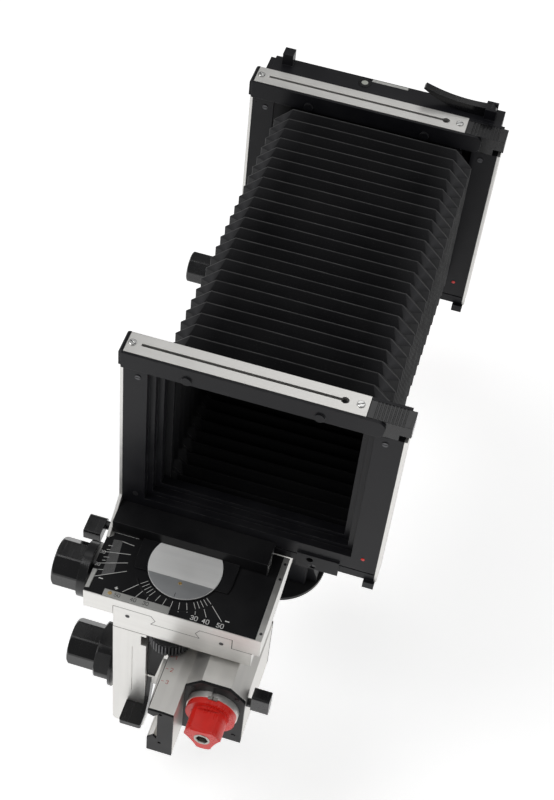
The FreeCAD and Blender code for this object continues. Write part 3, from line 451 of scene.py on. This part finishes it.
def bellows_piece(name, start, end):
    """The stretch of cloth between two places counted in pleats."""
    stops = [p + r for p in range(PLEATS) for r in ROWS_PER_PLEAT] + [float(PLEATS)]
    rows = [bellows_ring(s) for s in stops if start - 1e-6 <= s <= end + 1e-6]
    count = len(rows[0])
    points, fold, corner = [], [], []
    for row in rows:
        for point, crest, corner_highlight in row:
            points.append(point)
            # The fold weight is 1 on the crests, where the cloth gets its painted highlight.
            fold.append(max(0.0, (crest - 0.97) / 0.03))
            corner.append(corner_highlight)
    faces = []
    for r in range(len(rows) - 1):
        for c in range(count):
            n = (c + 1) % count
            faces.append((r * count + c, r * count + n, (r + 1) * count + n, (r + 1) * count + c))
    cloth = piece(name, points, faces, CLOTH)
    for label, values in (("fold", fold), ("corner", corner)):
        layer = cloth.data.attributes.new(label, "FLOAT", "POINT")
        layer.data.foreach_set("value", values)
    solidify = cloth.modifiers.new("thickness", "SOLIDIFY")
    solidify.thickness = CLOTH_T * MM
    solidify.offset = 1.0
    bake(cloth)
    return cloth


def bake(thing):
    """Applies every modifier, so the mesh is final."""
    depsgraph = bpy.context.evaluated_depsgraph_get()
    mesh = bpy.data.meshes.new_from_object(thing.evaluated_get(depsgraph))
    thing.modifiers.clear()
    thing.data = mesh


# Lengths in quarters of a pleat, from a frame to the middle of the bellows.
# One stretch for each movement, named after it.
STRETCHES = (("swing", "frame", "tray", 8), ("tilt", "tray", "cross_plate", 8),
             ("shift", "cross_plate", "column", 8),
             ("rise", "column", "carriage", 8), ("focus", "carriage", "clamp", 5))
COARSE_QUARTERS = 11


def half_bellows(side):
    """Six stretches from a standard's frame to the middle, each named for one joint of its chain; only the
    middle one rides on the rail.
    """
    at = 0
    sign = 1 if side == "front" else -1
    base = 0 if side == "front" else PLEATS
    pieces = []
    for movement, outer, inner, quarters in STRETCHES:
        near, far = base + sign * at / 4, base + sign * (at + quarters) / 4
        cloth = bellows_piece(f"{side}_bellows_{movement}", min(near, far), max(near, far))
        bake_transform(cloth)
        pieces.append(cloth)
        at += quarters
    near, far = base + sign * at / 4, base + sign * (at + COARSE_QUARTERS) / 4
    cloth = bellows_piece(f"{side}_bellows_middle", min(near, far), max(near, far))
    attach(cloth, "rail")
    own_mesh(cloth)
    pieces.append(cloth)
    return pieces


def cuff(side, y_end, y_plate, plate_half, centre):
    """Cloth band that joins the last fold to the plate it is glued to."""
    ring = bellows_ring(0.0 if side == "front" else float(PLEATS))
    points = [p for p, _, _ in ring]
    count = len(points)
    (cx, cz) = centre
    shrunk = []
    for x, _, z in points:
        scale = (plate_half + 1.5) / max(abs(x - cx), abs(z - cz))
        shrunk.append((cx + (x - cx) * min(1, scale), y_plate, cz + (z - cz) * min(1, scale)))
    faces = [(c, (c + 1) % count, count + (c + 1) % count, count + c) for c in range(count)]
    band = piece(f"{side}_bellows_cuff", [(x, y_end, z) for x, _, z in points] + shrunk, faces, CLOTH)
    for label in ("fold", "corner"):
        band.data.attributes.new(label, "FLOAT", "POINT")
    solidify = band.modifiers.new("thickness", "SOLIDIFY")
    solidify.thickness = CLOTH_T * MM
    bake(band)
    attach(band, f"{side}_frame")
    return band


cloths = half_bellows("front") + half_bellows("rear")
cloths.append(cuff("front", BELLOWS_Y0, BELLOWS_Y0 - 0.4, 61.0, BELLOWS_ENDS[0][:2]))
cloths.append(cuff("rear", BELLOWS_Y1, BELLOWS_Y1 + 0.8, 61.0, BELLOWS_ENDS[1][:2]))
for cloth in cloths:
    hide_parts("bellows")


# ---------------------------------------------------------------- small mesh builders

def unit(v):
    return Vector(v).normalized()


def ribbons(name, strokes, width, material, body, normal=(0, 0, 1), lift=0.12):
    """Raised lines of filled paint. strokes are polylines of points on a surface, in millimetres."""
    points, faces = [], []
    n = unit(normal)
    for stroke in strokes:
        for a, b in zip(stroke, stroke[1:]):
            a, b = Vector(a), Vector(b)
            along = (b - a).normalized()
            side = along.cross(n).normalized()
            a, b = a - along * width * 0.3, b + along * width * 0.3
            base = len(points)
            for half, height in ((width / 2, -0.05), (width * 0.36, lift)):
                points += [a - side * half + n * height, a + side * half + n * height,
                           b + side * half + n * height, b - side * half + n * height]
            faces += [(base + 4, base + 5, base + 6, base + 7)]
            for k in range(4):
                m = (k + 1) % 4
                faces.append((base + k, base + m, base + 4 + m, base + 4 + k))
    return piece(name, points, faces, material, body)


FIGURES = {
    "0": [[(0.1, 0), (0.5, 0), (0.6, 0.2), (0.6, 0.8), (0.5, 1), (0.1, 1), (0, 0.8), (0, 0.2), (0.1, 0)]],
    "1": [[(0.12, 0.78), (0.36, 1), (0.36, 0)]],
    "2": [[(0, 0.8), (0.15, 1), (0.45, 1), (0.6, 0.8), (0.55, 0.58), (0, 0), (0.6, 0)]],
    "3": [[(0, 0.85), (0.15, 1), (0.45, 1), (0.6, 0.8), (0.42, 0.54), (0.2, 0.54)],
          [(0.42, 0.54), (0.6, 0.3), (0.45, 0), (0.15, 0), (0, 0.15)]],
    "4": [[(0.45, 0), (0.45, 1), (0, 0.3), (0.62, 0.3)]],
    "5": [[(0.55, 1), (0.08, 1), (0.04, 0.55), (0.4, 0.6), (0.6, 0.4), (0.55, 0.1),
           (0.35, 0), (0.1, 0), (0, 0.12)]],
    "+": [[(0.02, 0.5), (0.62, 0.5)], [(0.32, 0.2), (0.32, 0.8)]],
    "-": [[(-0.1, 0.5), (0.7, 0.5)]],
}


def figures(text, centre, across, upward, height):
    """Strokes of a short number centred on a point. across and upward are its reading directions."""
    pitch = 0.85 * height
    across, upward, centre = Vector(across), Vector(upward), Vector(centre)
    strokes = []
    for index, character in enumerate(text):
        shift = (index - (len(text) - 1) / 2) * pitch - 0.3 * height
        for line in FIGURES[character]:
            strokes.append([centre + across * (shift + u * height) + upward * (v - 0.5) * height
                            for u, v in line])
    return strokes


def plate(name, outline, origin, across, upward, thick, bevel, material, body):
    """A flat piece with a chamfered rim. outline is in its own plane, anticlockwise seen from its front."""
    across, upward, origin = unit(across), unit(upward), Vector(origin)
    n = across.cross(upward)
    count = len(outline)
    inset = []
    for k in range(count):
        p, q, r = (Vector(outline[(k + d) % count]) for d in (-1, 0, 1))
        first, second = (q - p).normalized(), (r - q).normalized()
        inward = Vector((-first.y - second.y, first.x + second.x))
        scale = 2 * bevel / max(inward.length_squared, 0.4)
        inset.append(q + inward * scale)
    points = []
    for ring, height in ((outline, 0.0), (outline, thick - bevel), (inset, thick)):
        points += [origin + across * u + upward * v + n * height for u, v in ring]
    faces = [tuple(range(2 * count, 3 * count)), tuple(reversed(range(count)))]
    for level in (0, count):
        for k in range(count):
            m = (k + 1) % count
            faces.append((level + k, level + m, level + count + m, level + count + k))
    return piece(name, points, faces, material, body)


def rectangle(u0, u1, v0, v1):
    return [(u0, v0), (u1, v0), (u1, v1), (u0, v1)]


def lathed(name, centre, axis, profile, material, body, sides=40):
    """A turned piece. profile is (radius, height along axis)."""
    axis = unit(axis)
    helper = Vector((0, 0, 1)) if abs(axis.z) < 0.9 else Vector((1, 0, 0))
    u = axis.cross(helper).normalized()
    v = axis.cross(u)
    points = []
    for radius, height in profile:
        for k in range(sides):
            angle = 2 * math.pi * k / sides
            rim = (u * math.cos(angle) + v * math.sin(angle)) * radius
            points.append(Vector(centre) + rim + axis * height)
    faces = []
    for row in range(len(profile) - 1):
        for k in range(sides):
            m = (k + 1) % sides
            faces.append((row * sides + k, row * sides + m, (row + 1) * sides + m, (row + 1) * sides + k))
    faces.append(tuple(reversed(range(sides))))
    faces.append(tuple(range((len(profile) - 1) * sides, len(profile) * sides)))
    return piece(name, points, faces, material, body)


def slotted_screw(name, centre, axis, radius, height, turn, material, body):
    """A chamfered screw head split by a driver slot."""
    axis = unit(axis)
    helper = Vector((0, 0, 1)) if abs(axis.z) < 0.9 else Vector((1, 0, 0))
    u = axis.cross(helper).normalized()
    v = axis.cross(u)
    u, v = u * math.cos(turn) + v * math.sin(turn), v * math.cos(turn) - u * math.sin(turn)
    half = radius * 0.17
    start = math.asin(half / radius)
    arc = [start + (math.pi - 2 * start) * k / 12 for k in range(13)]
    points, faces = [], []
    for sign in (1, -1):
        base = len(points)
        for scale, level in ((1.0, -0.05), (1.0, height * 0.6), (0.86, height)):
            for angle in arc:
                points.append(Vector(centre) + (u * math.cos(angle) * radius * scale
                              + v * sign * max(half, math.sin(angle) * radius * scale)) + axis * level)
        n = len(arc)
        for level in (0, n):
            for k in range(n):
                m = (k + 1) % n
                quad = (base + level + k, base + level + m, base + level + n + m, base + level + n + k)
                faces.append(quad if sign > 0 else quad[::-1])
        top = tuple(base + 2 * n + k for k in range(n))
        faces.append(top if sign > 0 else top[::-1])
    floor_ring = [Vector(centre) + (u * math.cos(a) + v * math.sin(a)) * radius * 0.97 + axis * height * 0.25
                  for a in (2 * math.pi * k / 24 for k in range(24))]
    base = len(points)
    points += floor_ring
    faces.append(tuple(base + k for k in range(24)))
    return piece(name, points, faces, material, body)


def joint(name):
    return next(j for j in frame["joints"] if j["name"] == name)


# ---------------------------------------------------------------- scales and fittings of one standard

class Standard:
    """Placing helpers for one standard. v and depth grow outward, away from its frame."""

    def __init__(self, side):
        self.side = side
        self.out = -1 if side == "front" else 1
        pivot = [c / MM for c in joint(f"{side}_swing")["pos_m"]]
        self.pivot = pivot
        self.tray_low, self.tray_high = corners(f"{side}_tray")
        self.across = (-self.out, 0, 0)
        self.inward = (0, -self.out, 0)

    def on_tray(self, x, y, lift=0.0):
        """A point on the tray's sheet, given as the front standard's offsets from its swing pivot."""
        return (self.pivot[0] + x * -self.out, self.pivot[1] - self.out * y, self.tray_high[2] + lift)

    def name(self, part):
        return f"{self.side}_{part}"


def polar(angle, radius):
    """Offset at an angle from straight outward, positive to the right seen from outside."""
    return radius * math.sin(math.radians(angle)), -radius * math.cos(math.radians(angle))


def swing_scale(std):
    tray = std.name("tray")
    lines = []
    for angle in (-50, -45, -40, -35, -30, -20, -10, 0, 10, 20, 30, 35, 40, 45, 50):
        outer = 33.0 if abs(angle) <= 20 else 31.5
        lines.append([std.on_tray(*polar(angle, 26.0)), std.on_tray(*polar(angle, outer))])
    for angle, end in ((-50, (-32.8, -29.7)), (-40, (-23.5, -30.5)), (-30, (-16.2, -30.3)),
                       (30, (16.6, -30.9)), (40, (23.9, -30.4)), (50, (34.2, -30.4))):
        lines.append([std.on_tray(*polar(angle, 31.5)), std.on_tray(*end)])
    ribbons(std.name("swing_scale_lines"), lines, 0.34, WHITE_INK, tray)
    numbers = []
    for text, x in (("30", 16.8), ("40", 24.5), ("50", 34.2)):
        numbers += figures(text, std.on_tray(x, -33.6), std.across, std.inward, 3.0)
    ribbons(std.name("swing_scale_numbers"), numbers, 0.55, WHITE_INK, tray)
    signs = figures("+", std.on_tray(-37.4, -28.4), std.across, std.inward, 3.0)
    signs += figures("-", std.on_tray(37.6, -29.2), std.across, std.inward, 3.0)
    signs += figures("-", std.on_tray(-49.4, -24.4), std.across, std.inward, 3.0)
    ribbons(std.name("scale_signs"), signs, 0.75, WHITE_INK, tray)
    width, depth = 44.6, 5.2
    plate(std.name("number_strip"), rectangle(0, width, 0, depth), std.on_tray(-44.3, -36.2, 0.02),
          std.across, std.inward, 0.45, 0.15, STRIP, tray)
    numbers = []
    for text, x in (("50", -35.0), ("40", -24.2), ("30", -15.8)):
        numbers += figures(text, std.on_tray(x, -33.5, 0.47), std.across, std.inward, 2.5)
    ribbons(std.name("strip_numbers"), numbers, 0.36, BLACK_INK, tray, lift=0.08)
    slotted_screw(std.name("strip_screw"), std.on_tray(-40.0, -33.4, 0.45), (0, 0, 1), 1.35, 0.35, 0.6,
                  BRASS, tray)


def painted_shade_ring(std):
    """Shallow dished ring in the tray's sheet, round the front of the half moon, coloured black matt as
    painted shade.
    """
    points, faces = [], []
    angles = [-58 + 4 * k for k in range(30)]
    profile = ((25.2, 0.02), (25.6, 0.1), (31.2, 0.1), (31.7, 0.32), (32.3, 0.3), (32.8, 0.02))
    for angle in angles:
        for radius, lift in profile:
            points.append(std.on_tray(*polar(angle, radius), lift))
    n = len(profile)
    for a in range(len(angles) - 1):
        for k in range(n - 1):
            quad = (a * n + k, a * n + k + 1, (a + 1) * n + k + 1, (a + 1) * n + k)
            faces.append(quad)
    # The black matt colour on this ring is painted shade.
    piece(std.name("painted_shade_ring"), points, faces, BLACK_MATT, std.name("tray"))


def tilt_scale(std):
    tray = std.name("tray")
    left, right = (-51.6, 6.6), (-46.0, 7.3)
    left_end, right_end = (-50.0, -21.8), (-43.1, -17.9)
    hatch = []
    steps = 30
    for k in range(steps + 1):
        t = k / steps
        a = [left[i] + (left_end[i] - left[i]) * t for i in (0, 1)]
        b = [right[i] + (right_end[i] - right[i]) * t for i in (0, 1)]
        hatch.append([std.on_tray(*a, 0.02), std.on_tray(*b, 0.02)])
    ribbons(std.name("tilt_scale_band"), hatch, 0.62, GREY_INK, tray, lift=0.05)
    lines = [((-45.8, 7.2), (-37.6, 6.4)), ((-54.2, -4.1), (-37.6, -0.9)), ((-53.8, -13.5), (-37.0, -7.6)),
             ((-53.8, -24.2), (-35.6, -14.0)), ((-53.5, 1.3), (-50.7, 1.8)), ((-53.4, -8.2), (-50.0, -7.4)),
             ((-53.4, -18.5), (-50.2, -17.8)), ((-53.4, -2.0), (-51.4, -1.6)),
             ((-53.4, -11.0), (-51.4, -10.4))]
    ribbons(std.name("tilt_scale_lines"), [[std.on_tray(*a), std.on_tray(*b)] for a, b in lines], 0.32,
            WHITE_INK, tray)
    numbers = figures("30", std.on_tray(-55.3, -4.6), std.across, std.inward, 2.1)
    numbers += figures("20", std.on_tray(-55.3, -14.6), std.across, std.inward, 2.1)
    ribbons(std.name("tilt_scale_numbers"), numbers, 0.36, WHITE_INK, tray)
    plate(std.name("tilt_scale_corner"), [(0, 0), (2.8, 0.6), (3.2, 15.5), (0, 15.5)],
          std.on_tray(-56.9, -34.2, 0.02), std.across, std.inward, 0.5, 0.2, STRIP, tray)


def half_moon(std):
    """Grey lower half of the bent index plate, its index line and its rivet."""
    body = std.name("frame")
    radius, fold = 24.3, -9.9
    limit = math.degrees(math.acos(-fold / radius))
    outline = [polar(-limit + 2 * limit * k / 40, radius) for k in range(41)]
    base = corners(std.name("swing_index"))[0][2] - std.tray_high[2]
    plate(std.name("half_moon"), outline, std.on_tray(0, 0, base + 0.78), std.across, std.inward, 0.16, 0.08,
          HALF_MOON, body)
    top = base + 0.94
    ribbons(std.name("swing_pointer"), [[std.on_tray(0, -20.6, top), std.on_tray(0, -24.0, top)]], 0.4,
            BLACK_INK, body, lift=0.05)
    lathed(std.name("index_rivet"), std.on_tray(0.5, -12.8, top), (0, 0, 1),
           [(1.25, -0.1), (1.25, 0.12), (1.05, 0.34), (0.75, 0.36), (0.55, 0.2), (0.25, 0.16)], BRASS, body,
           28)


def tray_fittings(std):
    tray = std.name("tray")
    x1 = std.tray_high[0] if std.out < 0 else std.tray_low[0]
    for index, y in enumerate((25.1, 12.7, -31.0)):
        slotted_screw(std.name(f"rim_screw_{index}"), (x1 + std.out * 1.9, std.pivot[1] - std.out * y,
                      std.tray_high[2]), (0, 0, 1), 1.0, 0.22, 0.4 + index, DARK_STEEL, tray)
    outer_y = std.tray_low[1] if std.out < 0 else std.tray_high[1]
    z = corners(std.name("cross_plate"))[0][2] + 16.5
    for index, x in enumerate((-26.8, 36.8)):
        slotted_screw(std.name(f"cross_screw_{index}"), (std.pivot[0] + x * -std.out, outer_y, z),
                      (0, std.out, 0), 1.5, 0.3, 0.5 + index, DARK_STEEL, std.name("cross_plate"))


def cradle_joint(std):
    """Dark line of the joint between the tray and the cross plate, and of the joint under the cross plate."""
    low, high = corners(std.name("cross_plate"))
    face_y = low[1] if std.out < 0 else high[1]
    cradle = [(0, 24.5), (25.8, 24.5), (28.6, 19.9), (25.8, 15.4), (58.6, 15.4), (55.8, 19.9), (58.6, 24.5),
              (80.4, 24.5), (80.4, 14.5), (94.1, 14.5)]
    shelf = [(0, 0.3), (53, 0.3)]
    strokes = [[(low[0] + x, face_y, low[2] + z) for x, z in line] for line in (cradle, shelf)]
    ribbons(std.name("cradle_joint"), strokes, 0.45, BLACK_INK, std.name("cross_plate"),
            normal=(0, std.out, 0), lift=0.05)


def track_fittings(std):
    """Edge bar, dark joint and distance figures along the focusing track, and covers by the carriage."""
    out, clamp = std.out, std.name("clamp")
    low, high = corners(std.name("focus_track"))
    outer_y = low[1] if out < 0 else high[1]

    def along(x, depth, z):
        """A point at a depth in from the track's outer end."""
        return (x, outer_y - out * depth, z)

    bar = [(-0.15, 0), (0, 0), (0, 37.0), (-2.7, 37.0)]
    if out > 0:
        bar = [(-u, v) for u, v in reversed(bar)]
    plate(std.name("track_edge_bar"), bar, along(low[0] - 0.02, 1.0, high[2] - 5.2), (-out, 0, 0),
          (0, -out, 0), 4.4, 0.25, ALUMINIUM_Y, clamp)
    ribbons(std.name("track_joint"),
            [[along(low[0] + 0.25, 0.4, high[2]), along(low[0] + 0.25, 62, high[2])]], 0.5, BLACK_INK,
            clamp, lift=0.04)
    strokes = []
    for text, depth in (("3", 21.4), ("2", 30.9), ("1", 40.4)):
        strokes += figures(text, along(low[0] + 5.4, depth, high[2]), std.across, std.inward, 2.6)
        strokes.append([along(low[0] + 1.4, depth, high[2]), along(low[0] + 3.0, depth, high[2])])
    ribbons(std.name("track_figures"), strokes, 0.4, RED_INK, clamp, lift=0.05)
    carriage_low, carriage_high = corners(std.name("carriage"))
    face_y = carriage_low[1] if out < 0 else carriage_high[1]
    column_x = corners(std.name("column"))[0][0] + 23.6
    cover = [(0, 33.8), (0, 36.1), (5.2, 36.1), (11.1, 65), (13.0, 75.6), (14.9, 75.6), (14.9, 26.2),
             (3.1, 26.2), (3.1, 33.8)]
    if out > 0:
        cover = [(-u, v) for u, v in cover]
    else:
        cover = cover[::-1]
    plate(std.name("runner_cover"), cover, (column_x, face_y, 0), (-out, 0, 0), (0, 0, 1), 0.7, 0.2,
          ALUMINIUM_Z, std.name("carriage"))


def step_fittings(std):
    """Painted edge highlights and end bracket of the step that carries the frame."""
    body, out = std.name("frame"), std.out
    low, high = corners(std.name("swing_carrier"))
    face_y = std.pivot[1] - out * 12.8
    foot_z, top_z = std.tray_high[2] + 0.4, high[2]
    # A bright steel stroke along the left part of the foot edge: a painted highlight.
    foot = [(low[0] + x, face_y + out * 0.3, foot_z) for x in (0.6, 18.6)]
    ribbons(std.name("step_foot_highlight"), [foot], 0.5, STEEL, body, lift=0.06)
    # A dark steel line along the top rim: a painted edge highlight.
    rim = [(x, face_y - out * 0.15, top_z) for x in (low[0] + 0.6, high[0] - 0.4)]
    ribbons(std.name("step_rim_highlight"), [rim], 0.22, DARK_STEEL, body, lift=0.04)
    height = top_z - foot_z
    bracket = [(-0.4, 0.0), (8.8, 0.0), (8.8, height), (-0.4, height + 0.3)]
    if out > 0:
        bracket = [(-u, v) for u, v in reversed(bracket)]
    plate(std.name("step_bracket"), bracket, (high[0], face_y, foot_z), (0, 1, 0), (0, 0, 1), 0.8, 0.2,
          STEEL, body)


def frame_fittings(side):
    """Red index dot on the lens side of a frame, and the two screws of its top bar."""
    low, high = corners(f"{side}_frame_trim")
    face_y = high[1] - 16.2 if side == "front" else low[1]
    body = f"{side}_frame"
    lathed(f"{side}_red_dot", (low[0] + 166.4, face_y, low[2] + 20.6), (0, -1, 0),
           [(1.35, -0.1), (1.35, 0.15), (1.0, 0.38), (0.45, 0.48)], RED, body, 24)
    for index, offset in enumerate((5.0, 146.0)):
        slotted_screw(f"{side}_bar_screw_{index}", (low[0] + offset, face_y + 8.1, high[2] + 0.3),
                      (0, 0, 1), 2.5, 0.5, 1.1 + index, STEEL, body)


# Height of the rail's axis, about which its caps turn.
RAIL_Z = joint("front_cap_turn")["pos_m"][2] / MM


def cap_insert(side):
    """Nickel hexagon lining in the end of a red rail cap."""
    low, high = corners(f"{side}_rail_cap")
    out = -1 if side == "front" else 1
    end_y = low[1] if out < 0 else high[1]
    centre_x = (low[0] + high[0]) / 2
    points, faces = [], []
    rings = ((5.5, 0.0, 36), (5.3, 0.4, 36), (4.4, 0.35, 6), (4.2, -0.2, 6), (4.2, -5.5, 6))
    count = 36
    for radius, height, sides in rings:
        for k in range(count):
            angle = 2 * math.pi * k / count
            r = radius
            if sides == 6:
                r = radius * math.cos(math.pi / 6) / math.cos((angle % (math.pi / 3)) - math.pi / 6)
            points.append((centre_x + r * math.cos(angle), end_y + out * height,
                           RAIL_Z + r * math.sin(angle)))
    for row in range(len(rings) - 1):
        for k in range(count):
            m = (k + 1) % count
            faces.append((row * count + k, row * count + m, (row + 1) * count + m, (row + 1) * count + k))
    faces.append(tuple(range(4 * count, 5 * count)))
    piece(f"{side}_cap_socket", points, faces, NICKEL, f"{side}_cap")


def rail_key(side):
    """Bright key in the rail's groove at its end, with a dark gap down its middle."""
    low, high = corners("rail")
    out = -1 if side == "front" else 1
    end_y = low[1] if out < 0 else high[1]
    plate(f"{side}_rail_key", [(-3.2, -1.0), (3.2, -1.0), (3.2, 0.6), (1.2, 0.9), (-1.2, 0.9), (-3.2, 0.6)],
          (0, end_y - out * 1.0, high[2] - 0.4), (-out, 0, 0), (0, 0, 1), 2.2, 0.3, NICKEL, "rail")
    gap = [(0, end_y - out * 0.9, high[2] + 0.5), (0, end_y + out * 1.1, high[2] + 0.5)]
    ribbons(f"{side}_rail_key_gap", [gap], 0.8, BLACK_INK, "rail", lift=0.05)


def back_fittings():
    """Pale strip and level ring on top of the back, and corner lines on the ground glass."""
    high = corners("back_frame")[1]
    body = "rear_frame"
    level_low, level_high = corners("back_level")
    centre = ((level_low[0] + level_high[0]) / 2, (level_low[1] + level_high[1]) / 2, level_high[2] - 0.5)
    lathed("level_ring", centre, (0, 0, 1),
           [(4.5, -0.8), (4.5, 0.2), (4.1, 0.45), (2.4, 0.6), (2.2, 0.3), (2.2, -0.3)], BLACK, body,
           40)
    top = level_high[2] - 0.6
    plate("back_pale_strip", rectangle(0, 25.9, 0, 2.6), (-15.2, high[1] - 3.1, top - 0.55), (1, 0, 0),
          (0, 1, 0), 0.75, 0.25, STRIP, body)
    glass_low, glass_high = corners("ground_glass")
    y = glass_high[1]
    lines = []
    for x_share, z_share in ((0.06, 0.06), (0.94, 0.06), (0.94, 0.94), (0.06, 0.94)):
        x = glass_low[0] + (glass_high[0] - glass_low[0]) * x_share
        z = glass_low[2] + (glass_high[2] - glass_low[2]) * z_share
        into_x = 14 if x_share < 0.5 else -14
        into_z = 14 if z_share < 0.5 else -14
        lines.append([(x + into_x, y, z), (x, y, z), (x, y, z + into_z)])
    middle_x, middle_z = (glass_low[0] + glass_high[0]) / 2, (glass_low[2] + glass_high[2]) / 2
    lines.append([(middle_x - 6, y, middle_z), (middle_x + 6, y, middle_z)])
    lines.append([(middle_x, y, middle_z - 6), (middle_x, y, middle_z + 6)])
    ribbons("glass_lines", lines, 0.4, BLACK_INK, "glass_holder", normal=(0, 1, 0), lift=0.04)


for side in ("front", "rear"):
    standard = Standard(side)
    swing_scale(standard)
    painted_shade_ring(standard)
    tilt_scale(standard)
    half_moon(standard)
    tray_fittings(standard)
    cradle_joint(standard)
    track_fittings(standard)
    step_fittings(standard)
    frame_fittings(side)
    cap_insert(side)
    rail_key(side)
back_fittings()


# ---------------------------------------------------------------- stage, light and camera

FLOOR_DROP = 60.0
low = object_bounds()[0]
floor_z = low[2] / MM - FLOOR_DROP
FLOOR_HALF = 6000
floor_corners = [(x * FLOOR_HALF, y * FLOOR_HALF, floor_z) for x, y in ((-1, -1), (1, -1), (1, 1), (-1, 1))]
floor = piece("floor", floor_corners, [(0, 1, 2, 3)], backdrop("pale floor"))


def studio_world(seen, lighting):
    """White behind the object for the camera, and dimmer for light and reflections."""
    world = bpy.data.worlds.new("studio")
    bpy.context.scene.world = world
    world.use_nodes = True
    tree = world.node_tree
    lit = tree.nodes["Background"]
    lit.inputs[0].default_value = (1, 1, 1, 1)
    lit.inputs[1].default_value = lighting
    plain = tree.nodes.new("ShaderNodeBackground")
    plain.inputs[0].default_value = (1, 1, 1, 1)
    plain.inputs[1].default_value = seen
    path = tree.nodes.new("ShaderNodeLightPath")
    both = tree.nodes.new("ShaderNodeMixShader")
    tree.links.new(path.outputs["Is Camera Ray"], both.inputs[0])
    tree.links.new(lit.outputs[0], both.inputs[1])
    tree.links.new(plain.outputs[0], both.inputs[2])
    tree.links.new(both.outputs[0], tree.nodes["World Output"].inputs["Surface"])


# How bright the surroundings look to the camera, and how brightly they light the object.
SEEN_WHITE, WORLD_LIGHT = 0.96, 0.22
studio_world(SEEN_WHITE, WORLD_LIGHT)
bpy.context.scene.view_settings.view_transform = "Standard"


def soft_light(name, position, target, size, power):
    data = bpy.data.lights.new(name, "AREA")
    data.shape = "SQUARE"
    data.size = size
    data.energy = power
    light = bpy.data.objects.new(name, data)
    bpy.context.scene.collection.objects.link(light)
    light.location = position
    light.rotation_euler = (Vector(target) - Vector(position)).to_track_quat("-Z", "Y").to_euler()


# Metres and watts: place, aim, side of the square and power.
LIGHT_AIM = (0, 0.05, 0.15)
soft_light("key", (-1.2, -0.4, 1.9), LIGHT_AIM, 1.2, 15)
soft_light("top", (0.3, 0.9, 2.0), LIGHT_AIM, 1.6, 9)
soft_light("right", (1.6, -0.6, 0.9), LIGHT_AIM, 1.0, 5)

# The photograph's camera. Its place is in metres, its lens and sensor in millimetres.
CAMERA_PLACE = (0.1142, -0.6777, 0.9929)
FOCAL_LENGTH, SENSOR_HEIGHT, CLIP_END = 71.96, 36, 50
AZIMUTH, ELEVATION, ROLL = math.radians(10.81), math.radians(49.68), math.radians(-7.02)
forward = Vector((-math.sin(AZIMUTH) * math.cos(ELEVATION), math.cos(AZIMUTH) * math.cos(ELEVATION),
                  -math.sin(ELEVATION)))
level = Vector((math.cos(AZIMUTH), math.sin(AZIMUTH), 0))
down = forward.cross(level)
right = math.cos(ROLL) * level + math.sin(ROLL) * down
up = right.cross(forward)
camera_data = bpy.data.cameras.new("photo camera")
camera_data.lens = FOCAL_LENGTH
camera_data.sensor_fit = "VERTICAL"
camera_data.sensor_height = SENSOR_HEIGHT
camera_data.clip_end = CLIP_END
camera = bpy.data.objects.new("photo camera", camera_data)
bpy.context.scene.collection.objects.link(camera)
camera.matrix_world = Matrix.Translation(CAMERA_PLACE) @ Matrix(((right.x, up.x, -forward.x, 0),
                                                                 (right.y, up.y, -forward.y, 0),
                                                                 (right.z, up.z, -forward.z, 0),
                                                                 (0, 0, 0, 1)))
bpy.context.scene.camera = camera
